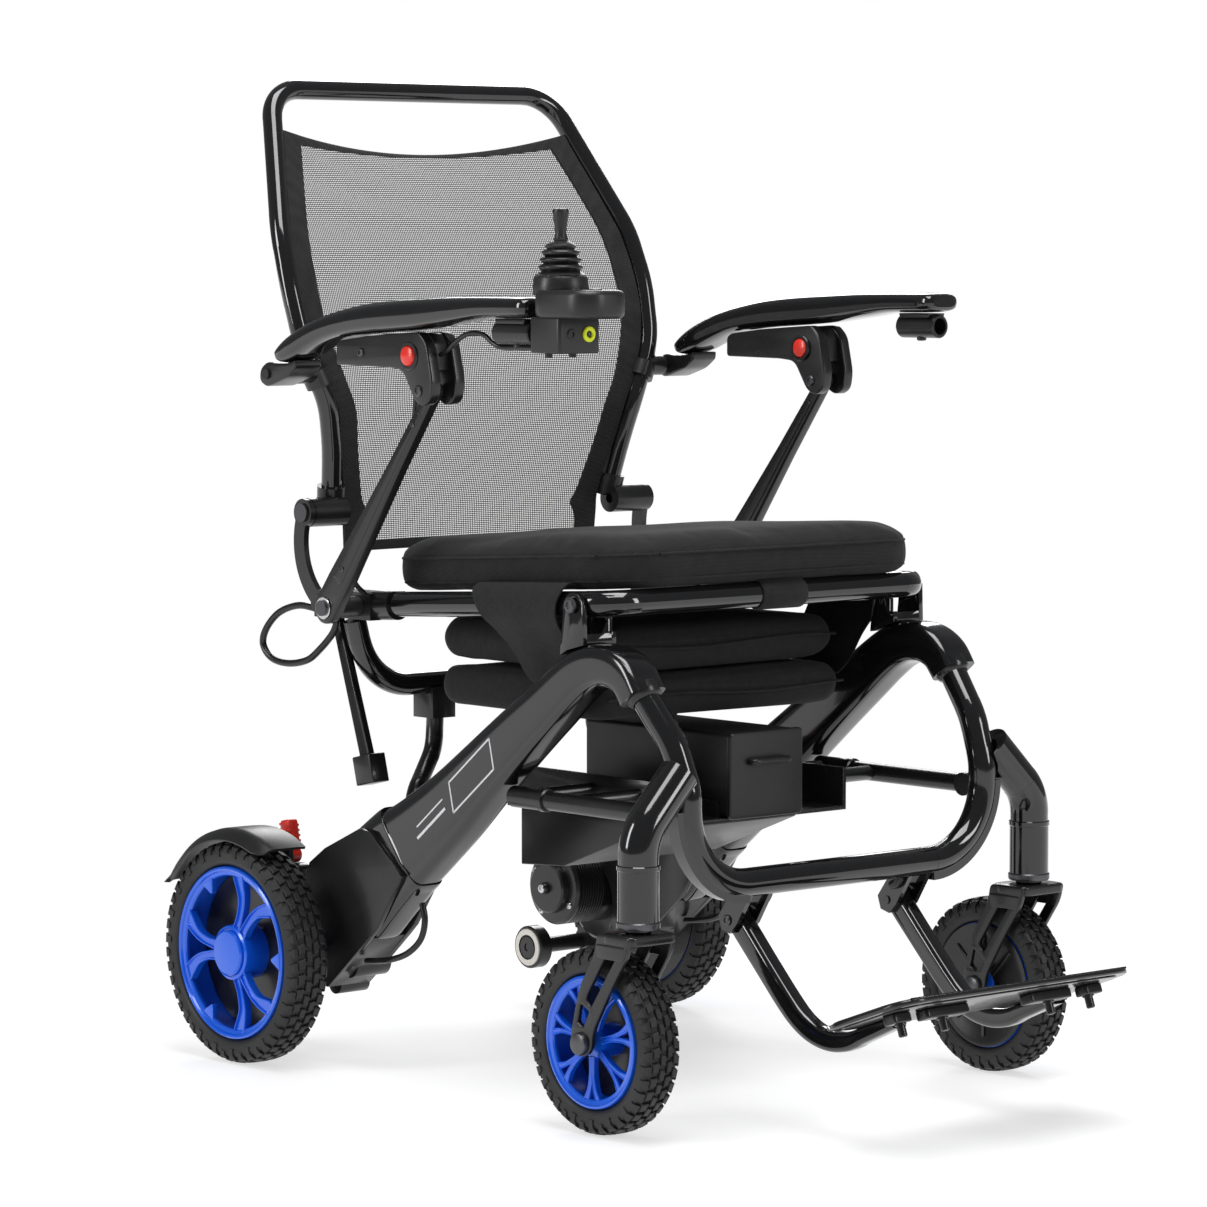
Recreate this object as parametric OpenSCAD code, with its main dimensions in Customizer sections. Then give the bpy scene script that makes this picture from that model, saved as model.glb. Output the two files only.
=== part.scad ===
// Folding power wheelchair. Millimetres, +Z up, the rider faces -Y.
// The rider's right hand, with the joystick, is on the -X side.
// The origin is on the floor, under the middle of the chair.

/* [Rear wheels] */
// Outer radius of the rear tyre
rear_r = 108; // [100:1:112]
// Width of the rear tyre
rear_w = 42; // [36:1:46]
// Outer radius of the rear rim
rear_rim_r = 84; // [78:1:88]
// Distance of each rear wheel's middle from the chair's centre plane
rear_x = 263; // [260:1:275]
// Place of the rear axle along the chair
rear_y = 340; // [330:1:344]

/* [Casters] */
// Outer radius of the caster tyre
caster_r = 84; // [78:1:86]
// Width of the caster tyre
caster_w = 38; // [32:1:40]
// Outer radius of the caster rim
caster_rim_r = 60; // [54:1:64]
// Distance of each caster stem from the centre plane
caster_x = 248; // [244:1:256]
// Place of the caster stems along the chair
caster_y = -215; // [-222:1:-208]
// How far the caster axle trails behind its stem
trail = 45; // [38:1:48]
// Outer radius of the caster housing
housing_r = 18.5; // [17:0.5:20]
// Height of the lower end of the caster housing
housing_z = 189; // [187:1:196]
// Radius of the caster stem
stem_r = 6; // [5:0.5:8]

/* [Frame] */
// Distance of each side arch's middle plane from the centre plane
arch_x = 197; // [194:1:200]
// Width of the side arch across the chair
arch_w = 40; // [34:1:42]
// Radius of the front loop's tube
loop_r = 13; // [11:0.5:14]
// Half width of the front loop between its tube centres
loop_x = 187; // [184:1:190]
// Place of the front loop's bar along the chair
loop_y = -212; // [-216:1:-208]
// Height of the front loop's bar
loop_z = 218; // [214:1:224]
// Radius of the lower side brace
brace_r = 10; // [8:0.5:11]
// Height of the lower side brace
brace_z = 282; // [278:1:288]

/* [Seat] */
// Distance of each seat rail from the centre plane
rail_x = 198; // [196:1:200]
// Radius of the seat rail's tube
rail_r = 12; // [10:0.5:12.5]
// Place of the seat hinge pins along the chair
seat_pin_y = -90; // [-94:1:-86]
// Height of the seat hinge pins
seat_pin_z = 466; // [464:1:472]
// Upward tilt of the seat towards the front, degrees
seat_tilt = 3.3; // [2:0.1:4]
// Width of the cushion
cushion_w = 410; // [380:1:416]
// Depth of the cushion, front to back
cushion_d = 370; // [350:1:374]
// Thickness of the cushion
cushion_t = 44; // [36:1:46]

/* [Back] */
// Radius of the back frame's tube
back_r = 9.5; // [8:0.5:10.5]
// Place of the backrest hinge along the chair
back_pin_y = 302; // [300:0.5:304]
// Height of the backrest hinge
back_pin_z = 532.7; // [531:0.1:534]
// Height of the push bar's centre
push_bar_z = 941; // [930:1:960]
// Thickness of the mesh
mesh_t = 3; // [2:0.5:4]

/* [Arms] */
// Distance of each armrest's middle from the centre plane
arm_x = 255; // [252:1:258]
// Width of the armrest
arm_w = 45; // [38:1:50]
// Place of the armrest pivot along the chair
arm_pin_y = 292; // [290:0.5:294]
// Height of the armrest pivot
arm_pin_z = 667; // [665:0.5:669]
// Distance of each strut's middle from the centre plane
strut_x = 248; // [246:1:250]
// Thickness of the strut
strut_t = 12; // [9:0.5:13]
// Radius of the release button
button_r = 9.5; // [7:0.5:10]

/* [Controller] */
// Width of the hand controller
ctl_w = 60; // [54:1:66]
// Depth of the hand controller, front to back
ctl_d = 82; // [76:1:90]
// Radius of the joystick knob
knob_r = 7.5; // [6:0.5:9]
// Radius of the bar that the controller stands on
ctl_bar_r = 8; // [6:0.5:9]

/* [Footrest] */
// Distance of each footrest arm from the centre plane
foot_x = 101; // [96:1:102]
// Width of the footplate
plate_w = 300; // [260:1:304]
// Depth of the footplate
plate_d = 115; // [105:1:118]
// Thickness of the footplate
plate_t = 5; // [3:0.5:7]
// Upward tilt of the footplate, degrees
plate_tilt = 20; // [18:0.5:22]

/* [Battery] */
// Width of the battery pack
battery_w = 88; // [80:1:96]
// Length of the battery pack
battery_l = 200; // [180:1:206]
// Height of the battery pack
battery_h = 78; // [70:1:80]

/* [Hidden] */
$fn = 48;
// Gap between pieces that seat on each other
seat_gap = 0.3;
// Radial clearance of a pin in its bore
pin_gap = 0.05;
// How far a straight tube runs into its elbow, and how much thicker the elbow is
elbow_lap = 0.6;
elbow_bulge = 0.12;
pin_r = 5;
brace_x = arch_x - 2;
brace_step = 1.2;
plate_edge_r = 30;
rail_end_y = 200;
rail_bend_r = 30;
rail_front_y = seat_pin_y - rail_bend_r;
fitting_w = 30;
link_t = 6;
// The curved link between the seat rail and the backrest hinge
link_r = 68;
link_cy = back_pin_y - link_r * cos(24);
link_cz = back_pin_z - link_r * sin(24);
link_w = 16;
// The bowed tube across the rear of the seat
bow_y = 250;
bow_z = 366;
bow_r = 11;
strut_pin_y = 226;
strut_pin_z = 447;
strut_top_y = 66;
strut_top_z = 656;
bracket_w = 40;
button_y = 79;
button_z = 688;
foot_pin_y = -187;
foot_pin_z = 181;
foot_pin_r = 4;
foot_arm_w = 18;
tray_z = 257;
tray_t = 4;
battery_z = tray_z + tray_t + seat_gap;
battery_front_y = -110;
motor_y = rear_y + 5;
motor_z = rear_r + 26;
roller_x = 152;
roller_y = 398;
roller_z = 65;
roller_r = 22;
ctl_y = -119;
ctl_top_z = 750;
arm_front_y = -92;
knuckle_x0 = 172;
knuckle_x1 = 214;
seat_z_above = rail_r + seat_gap;

// Route of the back frame's right-hand half, from the hinge to the push bar
back_route = [[178, 312, 540], [186, 300, 593], [197, 291.5, 638], [222, 297, 692], [227, 312, 750],
    [223, 332, 803], [178, 405, push_bar_z]];
back_bends = [0, 200, 100, 120, 200, 150, 45];
// Stations of the side arch: place, height and depth of its section
arch_line = [[231, 170, 98], [190, 204, 92], [148, 231, 80], [100, 264, 70], [50, 303, 60], [0, 341, 53],
    [-40, 370, 47], [-68, 391, 44], [-90, 405, 42], [-112, 412, 39], [-134, 411, 36], [-151.5, 402.5, 33],
    [-164, 386.9, 31]];
// Stations of the armrest: place, height and depth of its section
arm_line = [[-92, 734, 9], [-88, 734, 16], [-76, 734, 19], [-30, 733.5, 20], [10, 731, 24], [60, 727, 28],
    [100, 724.5, 29], [140, 721.5, 28], [175, 717, 26], [205, 711, 25], [230, 703, 25], [252, 694, 24],
    [266, 688, 20], [274, 685, 14], [277, 683.5, 6]];
// Stations of the mesh: half width, place and height
mesh_line = [[160, 314, 492], [162, 313, 520], [163.8, 311, 545], [165.8, 308, 562], [170.4, 305.6, 566],
    [176, 300, 593], [184, 292.5, 630], [188.5, 293, 662], [194, 296, 678], [211, 301, 710], [216, 312, 750],
    [212, 330, 797], [201, 350, 837], [187.2, 372.5, 880], [180.5, 383.5, 901]];
// Route of the release loop behind the right rail
loop_route = [[-206, 284.6, 437.8], [-208, 297, 440], [-212, 320, 442], [-215, 346, 434], [-217, 364, 418],
    [-217, 370, 402], [-216, 358, 389], [-214, 334, 385], [-212, 306, 390], [-210, 288, 402],
    [-209, 273, 415], [-209, 266, 424], [-209, 264, 430]];
// Route of the cable under the right armrest
arm_cable_route = [[-255, -103.6, 698], [-255, -92, 697.8], [-255, -60, 697.8], [-255, -37, 697.6],
    [-256, -25, 702], [-256, -12, 709], [-255, 10, 709], [-254, 28, 702], [-253, 42, 693.5],
    [-253, 52.5, 689]];
// Route of the cable beside the right strut
strut_cable_route = [[-237, 106, 673.2], [-237, 106, 660], [-238, 109, 630], [-239.2, 118, 592],
    [-239.2, 136, 563], [-239.2, 160, 530], [-239.2, 184, 498], [-238, 200, 478], [-229, 207, 468],
    [-216, 210, 459]];
// Route of the motor cable below the right arch
motor_cable_route = [[-197, 150, 169], [-197, 146, 152], [-199, 150, 134], [-203, 164, 120], [-206, 184, 112],
    [-206, 206, 108], [-206, 224, 106]];

// ---- helpers ----
function unit(v) = v / norm(v);
function zsafe(m) = norm([m[0][0], m[0][1]]) < 0.000001;
// Turns that bring the axes onto the three columns of m
function turns(m) = zsafe(m) ? [0, -asin(m[0][2]), atan2(-m[1][0], m[1][1])]
    : [atan2(m[1][2], m[2][2]), -asin(m[0][2]), atan2(m[0][1], m[0][0])];
function tangent_len(p, r, i) = let (a = unit(p[i] - p[i - 1]), b = unit(p[i + 1] - p[i]))
    r[i] * tan(acos(a * b) / 2);
// Sign-keeping power, for a rounded rectangular section
function bulge(v) = sign(v) * pow(abs(v), 0.45);

module rod(a, b, r) {
    d = b - a;
    translate(a) rotate([0, acos(d[2] / norm(d)), atan2(d[1], d[0])]) cylinder(h = norm(d), r = r);
}

// A round tube along the points p, bent to the radii bends
module bent_tube(p, bends, r) {
    n = len(p);
    for (i = [0 : n - 2]) {
        d = unit(p[i + 1] - p[i]);
        s = p[i] + d * (i == 0 ? 0 : tangent_len(p, bends, i));
        e = p[i + 1] - d * (i == n - 2 ? 0 : tangent_len(p, bends, i + 1));
        rod(s - d * (i == 0 ? 0 : elbow_lap), e + d * (i == n - 2 ? 0 : elbow_lap), r);
    }
    for (i = [1 : n - 2]) {
        a = unit(p[i] - p[i - 1]);
        b = unit(p[i + 1] - p[i]);
        inward = unit(b - a * (a * b));
        start = p[i] - a * tangent_len(p, bends, i);
        centre = start + inward * bends[i];
        translate(centre) rotate(turns([-inward, a, cross(-inward, a)]))
            rotate_extrude(angle = acos(a * b), $fn = 96) translate([bends[i], 0]) circle(r = r + elbow_bulge);
    }
}

// Closed solid through rings of points
module skin(rings) {
    m = len(rings[0]);
    n = len(rings);
    polyhedron(points = [for (ring = rings) each ring],
        faces = concat(
            [[for (j = [0 : m - 1]) j]],
            [for (i = [0 : n - 2]) for (j = [0 : m - 1])
                [i * m + j, (i + 1) * m + j, (i + 1) * m + (j + 1) % m, i * m + (j + 1) % m]],
            [[for (j = [0 : m - 1]) (n - 1) * m + m - 1 - j]]));
}

// Band of rounded rectangular section that lies in a plane of constant x
module band(line, x, w, sides = 16) {
    n = len(line);
    function along(i) = let (a = line[max(i - 1, 0)], b = line[min(i + 1, n - 1)])
        unit([0, b[0] - a[0], b[1] - a[1]]);
    skin([for (i = [0 : n - 1]) let (t = along(i), up = [0, -t[2], t[1]])
        [for (j = [0 : sides - 1]) let (a = 360 * (j + 0.5) / sides)
            [x, line[i][0], line[i][1]] + [w / 2 * bulge(cos(a)), 0, 0] + up * (line[i][2] / 2 * bulge(sin(a)))]]);
}

// Thin round cable along the points p
module cable(p, r, sides = 8) {
    n = len(p);
    skin([for (i = [0 : n - 1])
        let (t = unit(p[min(i + 1, n - 1)] - p[max(i - 1, 0)]), side = unit(cross([1, 0.02, 0.01], t)),
            up = cross(t, side))
        [for (j = [0 : sides - 1]) let (a = -360 * j / sides) p[i] + side * r * cos(a) + up * r * sin(a)]]);
}

// Extrudes an outline drawn in (y, z) from x0 over the thickness t
module xplate(x0, t) {
    translate([x0, 0, 0]) rotate([90, 0, 90]) linear_extrude(height = t) children();
}

// Cylinder along X
module xcyl(x0, x1, y, z, r) {
    translate([x0, y, z]) rotate([0, 90, 0]) cylinder(h = x1 - x0, r = r);
}

// Solid of revolution about an X axis; the outline is drawn as (radius, x)
module xspin(y, z) {
    translate([0, y, z]) rotate([0, 90, 0]) rotate_extrude($fn = 96) children();
}

module seat_space() {
    translate([0, seat_pin_y, seat_pin_z]) rotate([-seat_tilt, 0, 0]) children();
}

// Places what is drawn on the +X side on the left (1) or the right (-1)
module on_side(s) {
    if (s > 0) children();
    else mirror([1, 0, 0]) children();
}

module both_sides() {
    children();
    mirror([1, 0, 0]) children();
}

// Height of the seat rail's axis at the place y
function rail_z(y) = seat_pin_z - (y - seat_pin_y) * tan(seat_tilt);

// ---- main frame ----
module side_arch() {
    color("#101012") band(arch_line, arch_x, arch_w, 20);
}

module front_loop() {
    joint = [arch_x - 2.2, -165.2, 385.4];
    half = [joint, [loop_x + 3, -196, 347], [loop_x, loop_y, 305], [loop_x, loop_y, loop_z]];
    color("#0b0b0d") {
        bent_tube([for (p = half) p, for (i = [3 : -1 : 0]) [-half[i][0], half[i][1], half[i][2]]],
            [0, 80, 60, 70, 70, 60, 80, 0], loop_r);
        both_sides() {
            // Web that thickens the lower corner
            translate([loop_x - 70, loop_y, loop_z + 70]) rotate([90, 0, 0])
                translate([0, 0, -7]) rotate([0, 0, 270]) rotate_extrude(angle = 90, $fn = 96)
                    translate([62, 0]) square([26, 14]);
            // Lugs for the footrest pivots
            for (side = [-1, 1])
                difference() {
                    xplate(foot_x - 2.5 + side * (foot_arm_w / 2 + 3), 5) polygon([[loop_y - 8, loop_z - 6],
                        [foot_pin_y - 12, foot_pin_z - 3], [foot_pin_y - 3, foot_pin_z - 12],
                        [foot_pin_y + 8, foot_pin_z - 9], [foot_pin_y + 12, foot_pin_z + 3],
                        [loop_y + 9, loop_z + 4]]);
                    xcyl(foot_x - 30, foot_x + 30, foot_pin_y, foot_pin_z, foot_pin_r + pin_gap);
                }
        }
    }
}

module caster_branch() {
    color("#0b0b0d") difference() {
        union() {
            translate([caster_x, caster_y, housing_z]) cylinder(h = 55, r = housing_r);
            bent_tube([[caster_x, caster_y, housing_z + 55], [caster_x, caster_y, housing_z + 82],
                [loop_x + 10, loop_y, 322]], [0, 44, 0], housing_r - 0.5);
        }
        translate([caster_x, caster_y, housing_z - 1]) cylinder(h = 46, r = stem_r + pin_gap);
        // Room for the loop's leg
        rod([loop_x, loop_y, 250], [loop_x, loop_y, 345], loop_r + 2.5 * seat_gap);
        rod([loop_x - 1.6, loop_y - 8, 285], [loop_x + 4, loop_y + 20, 355], loop_r + 2.5 * seat_gap);
        translate([loop_x - 40, loop_y - 40, 250]) cube([40, 80, 110]);
    }
}

module lower_braces() {
    front_y = loop_y + loop_r + seat_gap;
    color("#121214") both_sides() {
        rod([brace_x, front_y, brace_z], [brace_x, -28, brace_z], brace_r - brace_step);
        rod([brace_x, -28, brace_z], [brace_x, 16.6, brace_z], brace_r);
        // Pinned knuckle at the front end
        xcyl(brace_x - 10, brace_x + 10, front_y + 11, brace_z, 11);
    }
}

module battery_tray() {
    tray_w = 220;
    color("#2a2a2d") {
        translate([-tray_w / 2, battery_front_y + 2, tray_z]) cube([tray_w, 226, tray_t]);
        both_sides() {
            translate([tray_w / 2 - 4, battery_front_y + 2, tray_z]) cube([4, 236, 40]);
            xcyl(tray_w / 2 - 1, brace_x - brace_r + brace_step - seat_gap, -60, brace_z, 7);
            xcyl(tray_w / 2 - 1, brace_x - brace_r - seat_gap, 6, brace_z, 7);
            // Cross beam behind the battery
            xcyl(-1, arch_x - arch_w / 2 - seat_gap, 128, 268, 8.5);
            // Side rails that guide the battery
            translate([battery_w / 2 + 0.6, battery_front_y + 10, tray_z + 1]) cube([4, 200, 18]);
        }
    }
}

module control_box() {
    box_w = 196;
    box_top = tray_z - seat_gap;
    color("#3a3a3e") xplate(-box_w / 2, box_w)
        polygon([[-52, box_top], [-52, box_top - 10], [60, 204], [122, 200], [122, box_top]]);
}

module battery_pack() {
    color("#242427") {
        translate([-battery_w / 2, battery_front_y, battery_z]) cube([battery_w, battery_l, battery_h]);
        // Front plate and its grip
        translate([-battery_w / 2 - 2, battery_front_y - 6, battery_z - 2]) cube([battery_w + 4, 6, battery_h + 3]);
        translate([-22, battery_front_y - 14, battery_z + 46]) cube([44, 9, 10]);
    }
}

// ---- drive ----
module motor() {
    gear_x = 192;
    color("#141416") {
        xcyl(124, 133, motor_y, motor_z, 26);
        xcyl(133, gear_x, motor_y, motor_z, 39);
        xcyl(gear_x, 230, rear_y, rear_r + 10, 44);
        xcyl(230, rear_x + 12, rear_y, rear_r, 8);
        xcyl(120.5, 125, motor_y, motor_z, 5);
        // Seat of the freewheel lever
        translate([190, motor_y - 14, motor_z + 30]) cube([22, 28, 24]);
    }
}

module motor_mounts() {
    color("#0d0d0f") both_sides() difference() {
        union() {
            // Cheeks beside the arch's lower end
            for (x = [arch_x - arch_w / 2 - 6.1, arch_x + arch_w / 2 + 0.1])
                xplate(x, 6) polygon([[150, 196], [188, 142], [200, 131], [236, 100], [262, 78], [300, 82],
                    [312, 150], [290, 196], [266, 212], [212, 236], [196, 234]]);
            // Block behind the arch's lower end
            xplate(arch_x - arch_w / 2 - 1, arch_w + 2) polygon([[201, 131], [236, 100], [262, 78], [300, 82],
                [312, 150], [290, 196], [264, 207.5]]);
            xcyl(164, arch_x + 8, 252, 100, 14);
            xcyl(170, arch_x + 8, 274, 78, 10);
        }
        xcyl(100, 260, rear_y, rear_r + 10, 44.3);
        xcyl(100, 260, motor_y, motor_z, 39.3);
    }
}

module motor_cables() {
    color("#0a0a0a") both_sides() cable([for (q = motor_cable_route) [-q[0], q[1], q[2]]], 3.2);
}

module fenders() {
    gap = 10;
    color("#101012") both_sides() {
        translate([0, rear_y, rear_r]) rotate([0, 90, 0]) rotate([0, 0, 123])
            rotate_extrude(angle = 84, $fn = 96) polygon([[rear_r + gap, rear_x - 29], [rear_r + gap, rear_x + 14],
                [rear_r + gap - 8, rear_x + 24], [rear_r + gap - 6, rear_x + 25.5],
                [rear_r + gap + 2.5, rear_x + 16], [rear_r + gap + 2.5, rear_x - 29]]);
        // Stay from the gearbox to the fender
        translate([212, rear_y - 14, rear_r + 54.1]) cube([6, 28, 46]);
        translate([212, rear_y - 14, rear_r + 99]) cube([22.5, 28, 5]);
        translate([229.5, rear_y - 14, rear_r + 99]) cube([5, 28, gap + 10]);
    }
}

module anti_tip_arms() {
    color("#151517") both_sides() {
        xcyl(roller_x + 10, 226, roller_y, roller_z, 8);
        xcyl(roller_x - 8, roller_x + 11, roller_y, roller_z, 4);
        xplate(214, 12) polygon([[roller_y - 12, roller_z - 4], [roller_y - 2, roller_z - 9],
            [roller_y + 8, roller_z], [roller_y + 4, roller_z + 9], [rear_y + 40.3, rear_r - 9.5],
            [rear_y + 29.2, rear_r - 25.2]]);
    }
}

module anti_tip_roller() {
    color("#d0d0d0") difference() {
        union() {
            xcyl(roller_x - 8, roller_x + 8, roller_y, roller_z, roller_r);
            xcyl(roller_x - 9, roller_x + 9, roller_y, roller_z, 12);
        }
        xcyl(roller_x - 20, roller_x + 20, roller_y, roller_z, 4 + pin_gap);
    }
}

module freewheel_lever() {
    lever_z = motor_z + 62;
    color("#e02a20") {
        xcyl(195, 207, motor_y, lever_z, 7.5);
        translate([195, motor_y - 7, lever_z]) rotate([-12, 0, 0]) cube([12, 14, 34]);
    }
}

module rear_tyre() {
    color("#161616") translate([rear_x, 0, 0]) xspin(rear_y, rear_r)
        polygon([[rear_rim_r + seat_gap, -rear_w / 2 + 4], [rear_rim_r + 6, -rear_w / 2],
            [rear_r - 9, -rear_w / 2], [rear_r - 3, -rear_w / 2 + 3], [rear_r, -rear_w / 2 + 10],
            [rear_r, rear_w / 2 - 10], [rear_r - 3, rear_w / 2 - 3], [rear_r - 9, rear_w / 2],
            [rear_rim_r + 6, rear_w / 2], [rear_rim_r + seat_gap, rear_w / 2 - 4]]);
}

// Pair of spokes that lean together at the hub
module spoke_pair(middle, spread, r0, r1, w) {
    for (k = [-1, 1])
        rotate([0, 0, middle]) polygon([[r0 * cos(spread * 0.6), k * (r0 * sin(spread * 0.6) - w / 2)],
            [r0 * cos(spread * 0.6), k * (r0 * sin(spread * 0.6) + w / 2)],
            [r1 * cos(spread), k * (r1 * sin(spread) + w / 2 + 1)],
            [r1 * cos(spread), k * (r1 * sin(spread) - w / 2 - 1)]]);
}

module rear_rim() {
    color("#1f5be8") {
        difference() {
            union() {
                // Barrel and its outer flange
                translate([rear_x, 0, 0]) xspin(rear_y, rear_r) polygon([[rear_rim_r - 5, -rear_w / 2 + 5],
                    [rear_rim_r, -rear_w / 2 + 5], [rear_rim_r, rear_w / 2 - 3], [rear_rim_r - 12, rear_w / 2 - 3],
                    [rear_rim_r - 12, rear_w / 2 - 8], [rear_rim_r - 5, rear_w / 2 - 12]]);
                xcyl(rear_x - 14, rear_x + rear_w / 2 + 2, rear_y, rear_r, 24);
                translate([rear_x + rear_w / 2 - 12, 0, 0]) xplate(0, 7) translate([rear_y, rear_r])
                    for (m = [0, 120, 240]) spoke_pair(m, 20.5, 21, rear_rim_r - 8, 7);
            }
            xcyl(rear_x - 30, rear_x + 13, rear_y, rear_r, 8 + pin_gap);
        }
        // Domed hub cap
        xcyl(rear_x + rear_w / 2 + 2, rear_x + rear_w / 2 + 5, rear_y, rear_r, 17);
    }
}

// ---- casters ----
module caster_fork() {
    axle_y = caster_y + trail;
    leg_x = caster_w / 2 + 4;
    crown_z = housing_z - 13;
    color("#141416") {
        difference() {
            translate([caster_x - leg_x - 5, caster_y - 20, crown_z]) cube([2 * leg_x + 10, 42, 9]);
            translate([caster_x, caster_y, crown_z + 7]) cylinder(h = 10, r = 12);
        }
        translate([caster_x, caster_y, crown_z + 2]) cylinder(h = 9.5, r = 11.5);
        translate([caster_x, caster_y, crown_z + 9]) cylinder(h = 42, r = stem_r);
        for (k = [-1, 1])
            xplate(caster_x + k * (leg_x + 2.5) - 2.5, 5) difference() {
                union() {
                    polygon([[caster_y - 18, crown_z + 9], [caster_y + 20, crown_z + 9],
                        [caster_y + 22, crown_z - 22], [axle_y + 11, caster_r + 6],
                        [axle_y - 11, caster_r - 6]]);
                    translate([axle_y, caster_r]) circle(r = 13);
                }
                // Long slot and small slot
                polygon([[caster_y - 6, crown_z - 8], [caster_y + 6, crown_z - 8], [caster_y + 20, caster_r + 60],
                    [caster_y + 12, caster_r + 56]]);
                polygon([[axle_y - 18, caster_r + 36], [axle_y - 9, caster_r + 38], [axle_y - 4, caster_r + 17],
                    [axle_y - 8, caster_r + 16]]);
            }
        xcyl(caster_x - leg_x - 9, caster_x + leg_x + 9, axle_y, caster_r, 5);
        for (k = [-1, 1])
            xcyl(caster_x + k * (leg_x + 7) - 3, caster_x + k * (leg_x + 7) + 3, axle_y, caster_r, 10);
    }
}

module caster_tyre() {
    color("#161616") translate([caster_x, 0, 0]) xspin(caster_y + trail, caster_r)
        polygon([[caster_rim_r + seat_gap, -caster_w / 2 + 3], [caster_rim_r + 5, -caster_w / 2],
            [caster_r - 9, -caster_w / 2], [caster_r - 3, -caster_w / 2 + 3], [caster_r, -caster_w / 2 + 10],
            [caster_r, caster_w / 2 - 10], [caster_r - 3, caster_w / 2 - 3], [caster_r - 9, caster_w / 2],
            [caster_rim_r + 5, caster_w / 2], [caster_rim_r + seat_gap, caster_w / 2 - 3]]);
}

module caster_rim() {
    color("#1f5be8") difference() {
        union() {
            translate([caster_x, 0, 0]) xspin(caster_y + trail, caster_r)
                polygon([[caster_rim_r - 5, -caster_w / 2 + 4], [caster_rim_r, -caster_w / 2 + 4],
                    [caster_rim_r, caster_w / 2 - 2], [caster_rim_r - 9, caster_w / 2 - 2],
                    [caster_rim_r - 9, caster_w / 2 - 6], [caster_rim_r - 5, caster_w / 2 - 9]]);
            xcyl(caster_x - caster_w / 2 + 2, caster_x + caster_w / 2 - 2, caster_y + trail, caster_r, 15);
            translate([caster_x + caster_w / 2 - 10, 0, 0]) xplate(0, 6) translate([caster_y + trail, caster_r])
                for (m = [12, 84, 156, 228, 300]) rotate([0, 0, m]) translate([13, -3]) square([caster_rim_r - 19, 6]);
        }
        xcyl(caster_x - 40, caster_x + 40, caster_y + trail, caster_r, 5 + pin_gap);
    }
}

// ---- seat ----
module seat_frame() {
    rail_len = rail_end_y - seat_pin_y;
    color("#0b0b0d") seat_space() bent_tube([[-rail_x, rail_len, 0], [-rail_x, -rail_bend_r, 0],
        [rail_x, -rail_bend_r, 0], [rail_x, rail_len, 0]], [0, rail_bend_r, rail_bend_r, 0], rail_r);
}

module seat_clevises() {
    color("#101012") both_sides() difference() {
        union() {
            for (k = [-1, 1])
                xplate(rail_x + k * (rail_r + 5.3 - 2 * k) - 2.5, 5) union() {
                    translate([seat_pin_y, seat_pin_z]) circle(r = rail_r - 0.5);
                    polygon([[-104, 430.6], [-81, 424.8], [-72, 420], [-77, seat_pin_z], [-103, seat_pin_z]]);
                }
            xplate(rail_x - rail_r - 9.8, 2 * rail_r + 15.6) polygon([[-104, 430.6], [-81, 424.8], [-72, 420],
                [-73, 432], [-103, 440]]);
        }
        xcyl(100, 300, seat_pin_y, seat_pin_z, foot_pin_r + pin_gap);
        // Room for the rail's bend as the seat tips
        translate([rail_x - 30, -130, 441]) cube([18, 31.4, 60]);
    }
}

module frame_pins() {
    color("#b8b8bc") both_sides() {
        // Seat pivots, one stub into each side of the rail
        for (k = [-1, 1])
            xcyl(rail_x + k * (rail_r + 4.6) - 4, rail_x + k * (rail_r + 4.6) + 4, seat_pin_y, seat_pin_z, foot_pin_r);
        xcyl(rail_x + rail_r + 8.4, rail_x + rail_r + 10.5, seat_pin_y, seat_pin_z, 7);
        // Footrest pivots
        xcyl(foot_x - 16, foot_x + 16, foot_pin_y, foot_pin_z, foot_pin_r);
    }
}

module seat_fittings() {
    color("#101012") both_sides() difference() {
        union() {
            seat_space() translate([rail_x, rail_end_y - seat_pin_y - 16, 0]) rotate([-90, 0, 0])
                cylinder(h = 30, r = rail_r + 3);
            translate([rail_x - 13, rail_end_y + 6, rail_z(240) - 13]) cube([29, 78, 26]);
            // Curved links up to the backrest hinge
            for (x = [knuckle_x1 + 0.5])
                xplate(x, link_t) union() {
                    intersection() {
                        translate([link_cy, link_cz]) difference() {
                            circle(r = link_r + link_w / 2, $fn = 96);
                            circle(r = link_r - link_w / 2, $fn = 96);
                        }
                        polygon([[link_cy, link_cz], [link_cy + 200, link_cz + 90], [link_cy + 200, link_cz - 260],
                            [link_cy + 40, link_cz - 64]]);
                    }
                    translate([back_pin_y, back_pin_z]) circle(r = 13.5);
                    translate([264, rail_z(240) - 13]) square([20, 26]);
                }
            xcyl(rail_x, knuckle_x1 + 10, 276, rail_z(240), 9);
        }
        seat_space() translate([rail_x, rail_end_y - seat_pin_y - 40, 0]) rotate([-90, 0, 0])
            cylinder(h = 40, r = rail_r + pin_gap);
        // Flat under the cushion
        seat_space() translate([rail_x - 20, rail_end_y - seat_pin_y - 40, rail_r]) cube([40, 60, 10]);
        xcyl(100, 300, back_pin_y, back_pin_z, pin_r + pin_gap);
        xcyl(100, 300, strut_pin_y, strut_pin_z, pin_r + pin_gap);
    }
}

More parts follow.
